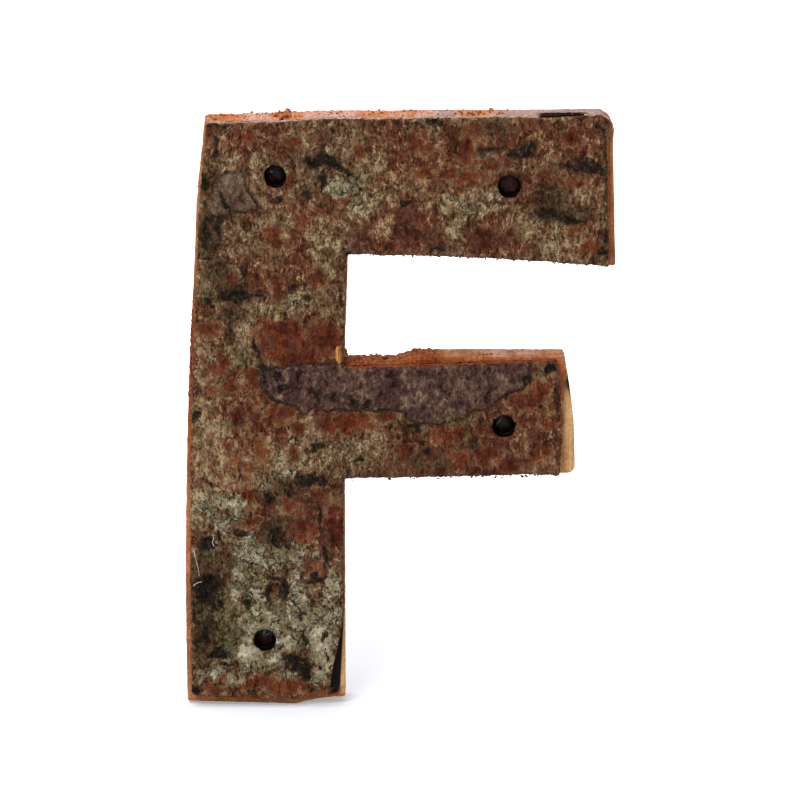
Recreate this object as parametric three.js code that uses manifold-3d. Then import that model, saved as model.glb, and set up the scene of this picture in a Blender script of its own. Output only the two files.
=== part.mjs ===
// A rustic letter F for a wall: a sawn wooden board faced with a sheet of tree bark.
// The bark is glued to the board and pinned down at the four ends of the strokes by nails,
// whose heads sit at the bottom of drilled holes.
// Millimetres, +Z up, +X to the reader's right, the bark faces -Y.
// The origin is on the flat back of the board, in the middle of the letter.
import * as THREE from "three";
import { mergeVertices } from "three/addons/utils/BufferGeometryUtils.js";
import Module from "manifold-3d";

// The letter as it was sawn
const letterHeight = 120; // from the foot's left corner to the top
const letterWidth = 86;
const stemFootWidth = 32;
const stemLean = 4.4; // the stem's left edge leans in by this much at the top
const stemBow = 1.65; // and bows out by this much halfway up
const footRise = 0.9; // the foot's cut climbs towards the right
const footSag = 0.6; // after sagging below its left corner
const footSagFromSide = 22;
const topFall = 1.1; // the top's cut falls towards the left
const upperArmDepth = 27.9;
const upperArmDroop = 2.5; // the underside hangs lower at the tip
const upperTipFlare = 0.75; // the tip's lower corner stands out
const upperTipChipWidth = 2.4; // and its upper corner is knocked off
const upperTipChipHeight = 3;
const neckFlare = 0.7; // the stem widens under the upper arm
const middleArmDepth = 23.5;
const middleArmReach = 46.2; // from the stem's right edge to the middle arm's lower corner
const middleArmRise = 0.9; // the middle arm's underside climbs towards its tip
const gapBetweenArms = 22.2;
const middleTipBack = 2.2; // the middle arm's upper corner stands back from its lower one
const middleTipBulge = 0.65; // the end grain bulges between them
const middleTipRound = 1.8; // and its lower corner is worn round
const middleTopStep = 1.2; // two saw cuts meet in a step on the middle arm
const middleStepFromStem = 10;
const middleStepRun = 4;
const sawCornerRadius = 1; // the blade rounds the inside corners

// Layers, from the wall outwards
const boardThickness = 9;
const glueThickness = 0.3;
const barkThickness = 2.7;

// The bark has dried and drawn back from the board's edges, so a rim of the board shows
const rimLeftTop = 0.5;
const rimLeftFoot = 1.2;
const rimTop = 0.2;
const rimUpperTip = 1.4;
const rimUpperUnderside = 0.3;
const rimStemRight = 0.3;
const rimMiddleTop = 0.5;
const rimMiddleTipTop = 1.75;
const rimMiddleTipFoot = 3.35;
const rimMiddleUnderside = 0.4;
const rimFoot = 2;
const barkTopRise = 1.35; // along the middle arm the bark's edge climbs evenly, without the step
const barkChipShare = 0.55; // how much of the upper tip's knocked-off corner the bark lost too

// A sliver of bark is missing beside the foot, where the glue is bare and drawn back too
const sliverWidth = 2.6;
const sliverHeight = 14.5;
const glueSetback = 0.8;

// Nails and the holes that they stand in
const holeDiameter = 4.6;
const counterboreDepth = 1.6; // how deep the hole goes into the board
const nailHeadDiameter = 3.9;
const nailHeadThickness = 0.7;
const nailHeadDome = 0.35;
const nailShankDiameter = 1.8;
const nailShankLength = 4.6;
const nailPointLength = 1.2;
const pilotClearance = 0.15; // round the shank, and past its point
const upperLeftNail = { fromSide: 14, fromTop: 10.8 };
const upperRightNail = { fromTip: 21.3, fromTop: 13.9 };
const middleArmNail = { fromTip: 14.4, fromUnderside: 11.2 };
const stemFootNail = { fromSide: 15.8, fromFoot: 13.5 };
const roundSegments = 24;

// Lines of the letter that the corners share
const left = -letterWidth / 2;
const right = letterWidth / 2;
const foot = -letterHeight / 2;
const top = letterHeight / 2;
const stemRight = left + stemFootWidth;
const upperUnderside = top - upperArmDepth;
const middleTop = upperUnderside - gapBetweenArms;
const middleUnderside = middleTop - middleArmDepth;
const middleTip = stemRight + middleArmReach;

const boardEdges = {
  leftTop: 0,
  leftFoot: 0,
  top: 0,
  upperTip: 0,
  upperUnderside: 0,
  stemRight: 0,
  middleTop: 0,
  middleTipTop: 0,
  middleTipFoot: 0,
  middleUnderside: 0,
  foot: 0,
  tipBulge: middleTipBulge,
  tipRound: middleTipRound,
  topRise: middleTopStep,
  topStepped: true,
  chip: 1,
  sliver: 0,
};
const glueEdges = {
  leftTop: rimLeftTop,
  leftFoot: rimLeftFoot,
  top: rimTop,
  upperTip: rimUpperTip,
  upperUnderside: rimUpperUnderside,
  stemRight: rimStemRight,
  middleTop: rimMiddleTop,
  middleTipTop: rimMiddleTipTop,
  middleTipFoot: rimMiddleTipFoot,
  middleUnderside: rimMiddleUnderside,
  foot: rimFoot,
  tipBulge: 0,
  tipRound: 0,
  topRise: barkTopRise,
  topStepped: false,
  chip: barkChipShare,
  sliver: glueSetback,
};
const barkEdges = { ...glueEdges, sliver: sliverWidth };

// The letter's outline with each edge drawn in by its rim, anticlockwise from the foot's left corner.
function letterOutline(edge) {
  const stemSide = stemRight - edge.stemRight;
  const neck = new THREE.Vector2(stemSide + neckFlare, upperUnderside + edge.upperUnderside);
  const armpit = new THREE.Vector2(stemSide, middleTop - edge.middleTop);
  const crotch = new THREE.Vector2(stemSide, middleUnderside + edge.middleUnderside);
  const tipBottom = new THREE.Vector2(
    middleTip - edge.middleTipFoot,
    middleUnderside + middleArmRise + edge.middleUnderside,
  );
  const tipTop = new THREE.Vector2(
    middleTip - middleTipBack - edge.middleTipTop,
    armpit.y + edge.topRise,
  );
  const upperTipBottom = new THREE.Vector2(
    right - edge.upperTip,
    upperUnderside - upperArmDroop + edge.upperUnderside,
  );
  const upperTipTop = new THREE.Vector2(upperTipBottom.x - upperTipFlare, top - edge.top);
  const topLeft = new THREE.Vector2(left + stemLean + edge.leftTop, top - topFall - edge.top);
  const footLeft = new THREE.Vector2(left + edge.leftFoot, foot + edge.foot);
  const footLow = new THREE.Vector2(left + footSagFromSide, foot - footSag + edge.foot);
  const footRight = new THREE.Vector2(stemSide - edge.sliver, foot + footRise + edge.foot);
  const bowHandle = 2 * stemBow;
  const bulgeHandle = 2 * edge.tipBulge;

  const outline = new THREE.Shape();
  outline.moveTo(footLeft.x, footLeft.y);
  outline.lineTo(footLow.x, footLow.y);
  outline.quadraticCurveTo(
    (footLow.x + footRight.x) / 2,
    footRight.y,
    footRight.x,
    footRight.y,
  );
  if (edge.sliver > 0) outline.lineTo(stemSide, footRight.y + sliverHeight);
  outline.lineTo(crotch.x, crotch.y - sawCornerRadius);
  outline.quadraticCurveTo(crotch.x, crotch.y, crotch.x + sawCornerRadius, crotch.y);
  outline.lineTo(tipBottom.x - edge.tipRound, tipBottom.y);
  if (edge.tipRound > 0) {
    outline.quadraticCurveTo(tipBottom.x, tipBottom.y, tipBottom.x, tipBottom.y + edge.tipRound);
  }
  outline.quadraticCurveTo(
    (tipBottom.x + tipTop.x) / 2 + bulgeHandle,
    (tipBottom.y + tipTop.y) / 2,
    tipTop.x,
    tipTop.y,
  );
  if (edge.topStepped) {
    const stepLeft = stemRight + middleStepFromStem;
    outline.lineTo(stepLeft + middleStepRun, tipTop.y);
    outline.lineTo(stepLeft, armpit.y);
  }
  outline.lineTo(armpit.x + sawCornerRadius, armpit.y);
  outline.quadraticCurveTo(armpit.x, armpit.y, armpit.x, armpit.y + sawCornerRadius);
  outline.lineTo(neck.x, neck.y - sawCornerRadius);
  outline.quadraticCurveTo(neck.x, neck.y, neck.x + sawCornerRadius, neck.y);
  outline.quadraticCurveTo(
    (neck.x + upperTipBottom.x) / 2,
    neck.y,
    upperTipBottom.x,
    upperTipBottom.y,
  );
  outline.lineTo(upperTipTop.x, upperTipTop.y - edge.chip * upperTipChipHeight);
  outline.lineTo(upperTipTop.x - edge.chip * upperTipChipWidth, upperTipTop.y);
  outline.lineTo(topLeft.x, topLeft.y);
  outline.quadraticCurveTo(
    (topLeft.x + footLeft.x) / 2 - bowHandle,
    (topLeft.y + footLeft.y) / 2,
    footLeft.x,
    footLeft.y,
  );
  return outline;
}

const nails = [
  {
    name: "nail_upper_left",
    x: left + stemLean + upperLeftNail.fromSide,
    z: top - topFall - upperLeftNail.fromTop,
  },
  {
    name: "nail_upper_right",
    x: right - upperRightNail.fromTip,
    z: top - upperRightNail.fromTop,
  },
  {
    name: "nail_middle_arm",
    x: middleTip - middleArmNail.fromTip,
    z: middleUnderside + middleArmNail.fromUnderside,
  },
  {
    name: "nail_stem_foot",
    x: left + stemFootNail.fromSide,
    z: foot + stemFootNail.fromFoot,
  },
];

const wasm = await Module();
wasm.setup();

function solidOf(geometry) {
  const bare = geometry.clone();
  bare.deleteAttribute("normal");
  bare.deleteAttribute("uv");
  const merged = mergeVertices(bare);
  return new wasm.Manifold(
    new wasm.Mesh({
      numProp: 3,
      vertProperties: merged.attributes.position.array,
      triVerts: new Uint32Array(merged.index.array),
    }),
  );
}

function geometryOf(solid) {
  const mesh = solid.getMesh();
  const geometry = new THREE.BufferGeometry();
  geometry.setAttribute("position", new THREE.BufferAttribute(mesh.vertProperties, 3));
  geometry.setIndex(new THREE.BufferAttribute(mesh.triVerts, 1));
  geometry.computeVertexNormals();
  return geometry;
}

// A flat layer that stands upright, its back on the plane y = 0 and its front at y = -thickness.
function layer(outline, thickness) {
  const geometry = new THREE.ExtrudeGeometry(outline, {
    depth: thickness,
    bevelEnabled: false,
    curveSegments: 12,
  });
  return geometry.rotateX(Math.PI / 2);
}

// A turned piece on the Y axis: each profile point is a radius and a depth from the wall outwards.
function turned(profile) {
  const points = profile.map(([radius, depth]) => new THREE.Vector2(radius, depth));
  return new THREE.LatheGeometry(points, roundSegments).rotateX(Math.PI).rotateY(Math.PI / 2);
}

function withNailHoles(outline) {
  for (const nail of nails) {
    const hole = new THREE.Path();
    hole.absarc(nail.x, nail.z, holeDiameter / 2, 0, 2 * Math.PI, true);
    outline.holes.push(hole);
  }
  return outline;
}

// The drilled hole in the board, from past the point of the nail to past the board's face.
function nailBore() {
  const shankRadius = nailShankDiameter / 2 + pilotClearance;
  const pilotDepth = nailShankLength + nailPointLength + pilotClearance;
  return turned([
    [0, -pilotDepth],
    [shankRadius, nailPointLength - pilotDepth],
    [shankRadius, 0],
    [holeDiameter / 2, 0],
    [holeDiameter / 2, 2 * counterboreDepth],
    [0, 2 * counterboreDepth],
  ]);
}

function nailGeometry() {
  const shankRadius = nailShankDiameter / 2;
  const headRadius = nailHeadDiameter / 2;
  const domeTop = nailHeadThickness + nailHeadDome;
  return turned([
    [0, -nailShankLength - nailPointLength],
    [shankRadius, -nailShankLength],
    [shankRadius, 0],
    [headRadius, 0],
    [headRadius, nailHeadThickness],
    [headRadius * 0.7, nailHeadThickness + nailHeadDome * 0.65],
    [0, domeTop],
  ]);
}

const seatDepth = boardThickness - counterboreDepth; // the nail heads' seats, measured from the wall

function backingBoard() {
  let solid = solidOf(layer(letterOutline(boardEdges), boardThickness));
  for (const nail of nails) {
    const bore = nailBore().translate(nail.x, -seatDepth, nail.z);
    solid = solid.subtract(solidOf(bore));
  }
  return geometryOf(solid);
}

const finishes = {
  boardWood: new THREE.MeshStandardMaterial({ color: "#c48b62", roughness: 0.8, metalness: 0 }),
  glue: new THREE.MeshStandardMaterial({ color: "#2a2322", roughness: 0.4, metalness: 0 }),
  bark: new THREE.MeshStandardMaterial({ color: "#67492f", roughness: 0.75, metalness: 0 }),
  nailSteel: new THREE.MeshStandardMaterial({ color: "#2b2526", roughness: 0.45, metalness: 0.8 }),
};

function piece(name, geometry, finish, x, y, z) {
  const mesh = new THREE.Mesh(geometry, finish);
  mesh.name = name;
  mesh.position.set(x, y, z);
  return mesh;
}

const letter = new THREE.Group();
letter.add(piece("backing_board", backingBoard(), finishes.boardWood, 0, 0, 0));
letter.add(
  piece(
    "glue_film",
    layer(withNailHoles(letterOutline(glueEdges)), glueThickness),
    finishes.glue,
    0,
    -boardThickness,
    0,
  ),
);
letter.add(
  piece(
    "bark_face",
    layer(withNailHoles(letterOutline(barkEdges)), barkThickness),
    finishes.bark,
    0,
    -boardThickness - glueThickness,
    0,
  ),
);
for (const nail of nails) {
  letter.add(piece(nail.name, nailGeometry(), finishes.nailSteel, nail.x, -seatDepth, nail.z));
}

export default letter;
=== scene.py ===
import math

import bpy
import numpy as np
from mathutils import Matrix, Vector, kdtree
from mathutils.geometry import tessellate_polygon


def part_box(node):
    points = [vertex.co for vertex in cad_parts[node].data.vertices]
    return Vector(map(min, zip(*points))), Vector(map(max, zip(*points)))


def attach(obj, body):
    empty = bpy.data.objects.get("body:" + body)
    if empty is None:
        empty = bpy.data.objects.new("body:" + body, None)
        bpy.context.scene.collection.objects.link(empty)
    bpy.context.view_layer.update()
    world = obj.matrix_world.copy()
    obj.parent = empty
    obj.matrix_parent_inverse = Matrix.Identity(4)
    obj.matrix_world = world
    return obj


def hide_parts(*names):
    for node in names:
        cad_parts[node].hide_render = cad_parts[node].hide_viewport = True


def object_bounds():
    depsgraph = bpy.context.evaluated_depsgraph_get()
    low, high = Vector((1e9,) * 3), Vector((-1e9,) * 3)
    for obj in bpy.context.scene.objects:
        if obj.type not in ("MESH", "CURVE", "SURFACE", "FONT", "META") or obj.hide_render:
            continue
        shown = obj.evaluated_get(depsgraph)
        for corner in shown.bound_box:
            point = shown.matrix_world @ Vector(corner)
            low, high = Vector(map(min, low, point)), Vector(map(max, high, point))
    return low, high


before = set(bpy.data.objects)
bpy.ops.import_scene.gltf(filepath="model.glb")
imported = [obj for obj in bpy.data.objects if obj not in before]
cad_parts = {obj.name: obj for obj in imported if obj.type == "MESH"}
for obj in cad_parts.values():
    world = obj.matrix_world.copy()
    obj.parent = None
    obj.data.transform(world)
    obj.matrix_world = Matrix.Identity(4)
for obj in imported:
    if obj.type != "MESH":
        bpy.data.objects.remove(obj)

# A rustic letter F: bark glued and nailed to a sawn board. Sizes are in millimetres, x to the right,
# z up, and y is the depth: the board's back is at 0 and the bark faces -y.
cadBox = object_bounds()
mm = 0.001
scene = bpy.context.scene


def linearColour(code):
    channels = [int(code[i:i + 2], 16) / 255 for i in (1, 3, 5)]
    linear = [c / 12.92 if c <= 0.04045 else ((c + 0.055) / 1.055) ** 2.4 for c in channels]
    return (*linear, 1.0)


def addNode(tree, kind, settings, inputs):
    node = tree.nodes.new(kind)
    for name, value in settings.items():
        setattr(node, name, value)
    for socket, value in inputs.items():
        if isinstance(value, bpy.types.NodeSocket):
            tree.links.new(value, node.inputs[socket])
        else:
            node.inputs[socket].default_value = value
    return node


def newMaterial(name):
    material = bpy.data.materials.new(name)
    material.use_nodes = True
    material.node_tree.nodes.clear()
    return material, material.node_tree


# Repeatable noise: a smooth field of about -1 to 1 whose bumps are one unit apart
def smoothNoise(u, v, seed):
    cells = 128  # the field repeats after so many units
    turns = np.random.default_rng(seed).random((cells, cells)) * 2 * np.pi
    column = np.floor(u).astype(int)
    row = np.floor(v).astype(int)
    total = np.zeros_like(u)
    for stepU in (0, 1):
        for stepV in (0, 1):
            angle = turns[(column + stepU) % cells, (row + stepV) % cells]
            du = u - column - stepU
            dv = v - row - stepV
            fadeU = 1 - abs(du)
            fadeV = 1 - abs(dv)
            weight = fadeU ** 2 * (3 - 2 * fadeU) * fadeV ** 2 * (3 - 2 * fadeV)
            total += weight * (np.cos(angle) * du + np.sin(angle) * dv)
    return total * 1.6  # brings the peaks near to 1


# Octaves of that noise, the widest with bumps of the given size
def cloud(u, v, size, seed, octaves=3):
    total = np.zeros_like(u)
    for octave in range(octaves):
        scale = 2 ** octave / size
        total += smoothNoise(u * scale, v * scale, seed + 31 * octave) / 2 ** octave
    return total


def softStep(value, low, high):
    t = np.clip((value - low) / (high - low), 0, 1)
    return t * t * (3 - 2 * t)


# Places bent by noise: how far in x and in z, size of the bends, a seed for each and octaves
def bendPlaces(x, z, bends):
    bentX, bentZ = x.copy(), z.copy()
    for farX, farZ, size, seedX, seedZ, octaves in bends:
        bentX += farX * cloud(x, z, size, seedX, octaves)
        bentZ += farZ * cloud(x, z, size, seedZ, octaves)
    return bentX, bentZ


# The loops of edges that belong to one face only, as corners in order
def borderLoops(faces):
    edges = {}
    for face in faces:
        for a, b in zip(face, face[1:] + face[:1]):
            if (b, a) in edges:
                del edges[(b, a)]
            else:
                edges[(a, b)] = True
    following = dict(edges.keys())
    loops = []
    while following:
        corner = next(iter(following))
        loop = []
        while corner in following:
            loop.append(corner)
            corner = following.pop(corner)
        loops.append(loop)
    return loops


# The outline of a node's front face, as loops of (x, z) in millimetres: the outside first, then the holes
def frontLoops(node):
    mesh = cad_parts[node].data
    mesh.calc_loop_triangles()
    points = np.array([v.co for v in mesh.vertices]) / mm
    inFront = points[:, 1] - points[:, 1].min() <= 0.01  # to a hundredth of a millimetre, as below
    triangles = [list(t.vertices) for t in mesh.loop_triangles]
    faces = [points[t] for t in triangles if inFront[t].all()]
    corners = [[(round(x, 2), round(z, 2)) for x, _, z in face] for face in faces]
    loops = [np.array(loop) for loop in borderLoops(corners)]
    return sorted(loops, key=lambda l: -np.ptp(l[:, 1]))


def pointTree(points):
    tree = kdtree.KDTree(len(points))
    for i, (x, z) in enumerate(points):
        tree.insert((x, z, 0), i)
    tree.balance()
    return tree


# How far each point is from the nearest point of a border
def edgeDistance(points, border):
    tree = pointTree(points[border])
    return np.array([tree.find((x, z, 0))[2] for x, z in points])


# The way out of the material at each point of a loop, judged by the points some steps away
def loopNormals(points, steps):
    tangent = np.roll(points, -steps, axis=0) - np.roll(points, steps, axis=0)
    out = np.stack([tangent[:, 1], -tangent[:, 0]], axis=1)
    return out / np.maximum(np.hypot(*out.T), 1e-9)[:, None]


# Evenly spaced points round a closed loop, with the way out of the material at each
def evenLoop(loop, spacing):
    closed = np.vstack([loop, loop[:1]])
    lengths = np.hypot(*np.diff(closed, axis=0).T)
    along = np.concatenate([[0], np.cumsum(lengths)])
    count = int(along[-1] / spacing)
    places = np.linspace(0, along[-1], count, endpoint=False)
    even = np.stack([np.interp(places, along, closed[:, k]) for k in (0, 1)], axis=1)
    return even, loopNormals(even, 1)


# How far an edge stands out from the plain outline: smooth bulges at places of x, z, reach and how far
def edgeShift(points, places):
    total = np.zeros(len(points))
    for x, z, reach, far in places:
        total += far * np.exp(-((points[:, 0] - x) ** 2 + (points[:, 1] - z) ** 2) / reach ** 2)
    return total


def insideLoops(loops, x, z):
    starts = np.vstack(loops)
    ends = np.vstack([np.roll(l, -1, axis=0) for l in loops])
    inside = np.zeros((len(z), len(x)), bool)
    for row, height in enumerate(z):
        cross = (starts[:, 1] <= height) != (ends[:, 1] <= height)
        a, b = starts[cross], ends[cross]
        hits = np.sort(a[:, 0] + (height - a[:, 1]) / (b[:, 1] - a[:, 1]) * (b[:, 0] - a[:, 0]))
        inside[row] = np.searchsorted(hits, x) % 2 == 1
    return inside


# A sheet of small squares that fills the loops, its border drawn onto them.
# Returns the points, the squares and the border loops as lists of point numbers.
def fillSheet(loops, spacing):
    low = loops[0].min(axis=0) - spacing
    high = loops[0].max(axis=0) + spacing
    x = np.arange(low[0], high[0] + spacing, spacing)
    z = np.arange(low[1], high[1] + spacing, spacing)
    keep = insideLoops(loops, x[:-1] + spacing / 2, z[:-1] + spacing / 2)
    for _ in range(4):  # squares that meet only at a corner would pinch the sheet
        a, b, c, d = keep[:-1, :-1], keep[:-1, 1:], keep[1:, :-1], keep[1:, 1:]
        pinchA = a & d & ~b & ~c
        pinchB = b & c & ~a & ~d
        a[pinchA] = False
        b[pinchB] = False
    place = np.stack(np.meshgrid(x, z), axis=2)
    padded = np.pad(keep, 1)
    around = padded[:-1, :-1].astype(int) + padded[:-1, 1:] + padded[1:, :-1] + padded[1:, 1:]
    tree = pointTree(np.vstack(loops))
    for row, column in zip(*np.nonzero((around > 0) & (around < 4))):
        place[row, column] = tree.find((*place[row, column], 0))[0][:2]
    r, c = np.nonzero(around == 4)
    for _ in range(6):  # the inner points follow the border
        place[r, c] = (place[r - 1, c] + place[r + 1, c] + place[r, c - 1] + place[r, c + 1]) / 4
    number = np.full(around.shape, -1)
    used = np.nonzero(around > 0)
    number[used] = np.arange(len(used[0]))
    r, c = np.nonzero(keep)
    squares = np.stack([number[r, c], number[r, c + 1], number[r + 1, c + 1], number[r + 1, c]], axis=1)
    borders = sorted(borderLoops(squares.tolist()), key=len, reverse=True)
    points = place[used]
    for border in borders:
        for _ in range(3):  # points that fell together move apart along the loop
            rim = points[border]
            middle = rim / 2 + (np.roll(rim, 1, axis=0) + np.roll(rim, -1, axis=0)) / 4
            points[border] = [tree.find((a, b, 0))[0][:2] for a, b in middle]
    return points, squares, borders


# A growing mesh: rings of points that are joined to the ring before, and a cap on the last
class MeshDraft:
    def __init__(self, points, faces):
        self.points = [np.asarray(points, float)]
        self.count = len(points)
        self.faces = [list(f) for f in faces]

    def addPoints(self, points):
        self.points.append(np.asarray(points, float))
        self.count += len(points)
        return list(range(self.count - len(points), self.count))

    def addRing(self, before, points):
        ring = self.addPoints(points)
        for i in range(len(before)):
            j = (i + 1) % len(before)
            self.faces.append([before[j], before[i], ring[i], ring[j]])
        return ring

    def addTip(self, before, point):
        tip = self.addPoints([point])[0]
        for i in range(len(before)):
            self.faces.append([before[(i + 1) % len(before)], before[i], tip])

    # a flat cap over loops that lie at one depth, with holes where the loops are holes
    def addBack(self, rings):
        points = np.vstack(self.points)
        flat = [[Vector((points[i][0], points[i][2], 0)) for i in ring] for ring in rings]
        order = [i for ring in rings for i in ring]
        for a, b, c in tessellate_polygon(flat):
            p, q, r = points[order[a]], points[order[b]], points[order[c]]
            turn = (q[0] - p[0]) * (r[2] - p[2]) - (q[2] - p[2]) * (r[0] - p[0])
            corners = [order[a], order[c], order[b]] if turn > 0 else [order[a], order[b], order[c]]
            self.faces.append(corners)

    def build(self, name):
        mesh = bpy.data.meshes.new(name)
        mesh.from_pydata((np.vstack(self.points) * mm).tolist(), [], self.faces)
        mesh.validate()
        mesh.polygons.foreach_set("use_smooth", [True] * len(mesh.polygons))
        piece = bpy.data.objects.new(name, mesh)
        scene.collection.objects.link(piece)
        return piece


def setAttribute(piece, name, values):
    attribute = piece.data.attributes.new(name, "FLOAT", "POINT")
    attribute.data.foreach_set("value", np.asarray(values, np.float32))


# Noise patterns by name: their sizes in mm along x, y and z, their octaves and their curl.
# Each lies some way apart from the one before. Also returns the places in mm.
def addPatterns(tree, patterns, apart):
    where = addNode(tree, "ShaderNodeTexCoord", {}, {})
    inMm = addNode(
        tree, "ShaderNodeMapping", {}, {"Vector": where.outputs["Object"], "Scale": (1000, 1000, 1000)}
    ).outputs[0]
    noises = {}
    for name, (size, octaves, curl) in patterns.items():
        shrunk = addNode(
            tree, "ShaderNodeMapping", {},
            {"Vector": inMm, "Scale": [1 / v for v in size], "Location": (len(noises) * apart, 0, 0)},
        )
        noises[name] = addNode(
            tree, "ShaderNodeTexNoise", {},
            {
                "Vector": shrunk.outputs[0],
                "Scale": 1.0,
                "Detail": octaves,
                "Roughness": 0.6,
                "Distortion": curl,
            },
        ).outputs[0]
    return inMm, noises


# A blend of those patterns by their shares, still about 0.5 in the middle
def blendPatterns(tree, noises, shares):
    total = 0.5 - sum(shares.values()) / 2
    for pattern, share in shares.items():
        total = addNode(
            tree, "ShaderNodeMath", {"operation": "MULTIPLY_ADD"},
            {0: noises[pattern], 1: share, 2: total},
        ).outputs[0]
    return total


def setStops(ramp, stops):
    elements = ramp.color_ramp.elements
    while len(elements) < len(stops):
        elements.new(0.5)
    for element, (place, code) in zip(elements, stops):
        element.position = place
        element.color = linearColour(code)


# The camera stands where the photograph was taken: straight ahead, a little above, with a long lens
cameraSettings = {
    "aim": (0.08, -6.0, 1.73),
    "distance": 1000.0,
    "elevation": 12.0,
    "lens": 224.1,
}


def makeCamera(s):
    data = bpy.data.cameras.new("camera")
    camera = bpy.data.objects.new("camera", data)
    scene.collection.objects.link(camera)
    tilt = math.radians(s["elevation"])
    back = Vector((0, -math.cos(tilt), math.sin(tilt)))
    camera.location = (Vector(s["aim"]) + back * s["distance"]) * mm
    camera.rotation_euler = (math.pi / 2 - tilt, 0, 0)
    data.sensor_width = 36
    data.lens = s["lens"]
    data.dof.use_dof = False
    data.clip_start = 0.01
    scene.camera = camera
    print("camera placed")


makeCamera(cameraSettings)

stageSettings = {
    "floorSize": 4000.0,
    "floorColour": "#dfe3ec",  # a cool white, so that shadows turn a little blue
    "glow": 0.32,  # added for the camera alone, which brings the lit floor to white
    "fadeCentre": -20.0,  # x of the foot
    "fadeFrom": 70.0,  # the paper turns plain white between these distances from the foot
    "fadeTo": 190.0,
    "skyLight": 0.38,
}


def seenByEye(tree):
    path = addNode(tree, "ShaderNodeLightPath", {}, {})
    direct = addNode(
        tree, "ShaderNodeMath", {"operation": "MAXIMUM"},
        {0: path.outputs["Is Camera Ray"], 1: path.outputs["Is Glossy Ray"]},
    )
    return addNode(
        tree, "ShaderNodeMath", {"operation": "MAXIMUM"},
        {0: direct.outputs[0], 1: path.outputs["Is Transmission Ray"]},
    )


def makeStage(s):
    lowest = cadBox[0][2]
    half = s["floorSize"] / 2 * mm
    corners = [(-half, -half), (half, -half), (half, half), (-half, half)]
    mesh = bpy.data.meshes.new("floor")
    mesh.from_pydata([(x, y, lowest) for x, y in corners], [], [(0, 1, 2, 3)])
    floor = bpy.data.objects.new("floor", mesh)
    scene.collection.objects.link(floor)
    material, tree = newMaterial("white_paper_sweep")
    seen = seenByEye(tree)
    where = addNode(tree, "ShaderNodeTexCoord", {}, {})
    fromFoot = addNode(
        tree, "ShaderNodeVectorMath", {"operation": "DISTANCE"},
        {0: where.outputs["Object"], 1: (s["fadeCentre"] * mm, 0, lowest)},
    )
    whiter = addNode(
        tree, "ShaderNodeMapRange", {"interpolation_type": "SMOOTHSTEP"},
        {
            "Value": fromFoot.outputs["Value"],
            "From Min": s["fadeFrom"] * mm,
            "From Max": s["fadeTo"] * mm,
            "To Min": s["glow"],
            "To Max": 1.0,
        },
    )
    glow = addNode(
        tree, "ShaderNodeMath", {"operation": "MULTIPLY"}, {0: seen.outputs[0], 1: whiter.outputs[0]}
    )
    paper = addNode(
        tree, "ShaderNodeBsdfPrincipled", {},
        {
            "Base Color": linearColour(s["floorColour"]),
            "Roughness": 0.9,
            "Emission Color": (1, 1, 1, 1),
            "Emission Strength": glow.outputs[0],
        },
    )
    addNode(tree, "ShaderNodeOutputMaterial", {}, {"Surface": paper.outputs[0]})
    mesh.materials.append(material)

    world = bpy.data.worlds.new("studio")
    world.use_nodes = True
    scene.world = world
    tree = world.node_tree
    tree.nodes.clear()
    seen = seenByEye(tree)
    strength = addNode(
        tree, "ShaderNodeMapRange", {},
        {"Value": seen.outputs[0], "To Min": s["skyLight"], "To Max": 1.0},
    )
    sky = addNode(
        tree, "ShaderNodeBackground", {}, {"Color": (1, 1, 1, 1), "Strength": strength.outputs[0]}
    )
    addNode(tree, "ShaderNodeOutputWorld", {}, {"Surface": sky.outputs[0]})
    print("stage laid")


makeStage(stageSettings)

lampSettings = {
    "overhead": {"place": (-60, 40, 560), "size": (600, 420), "watts": 2.6},
    "front": {"place": (-260, -660, 600), "size": (320, 320), "watts": 4.2},
}


def makeLamps(lamps):
    for name, s in lamps.items():
        data = bpy.data.lights.new(name, "AREA")
        data.shape = "RECTANGLE"
        data.size = s["size"][0] * mm
        data.size_y = s["size"][1] * mm
        data.energy = s["watts"]
        lamp = bpy.data.objects.new(name, data)
        scene.collection.objects.link(lamp)
        lamp.location = Vector(s["place"]) * mm
        lamp.rotation_euler = (-lamp.location).to_track_quat("-Z", "Y").to_euler()
    print("lamps hung")


makeLamps(lampSettings)

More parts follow.
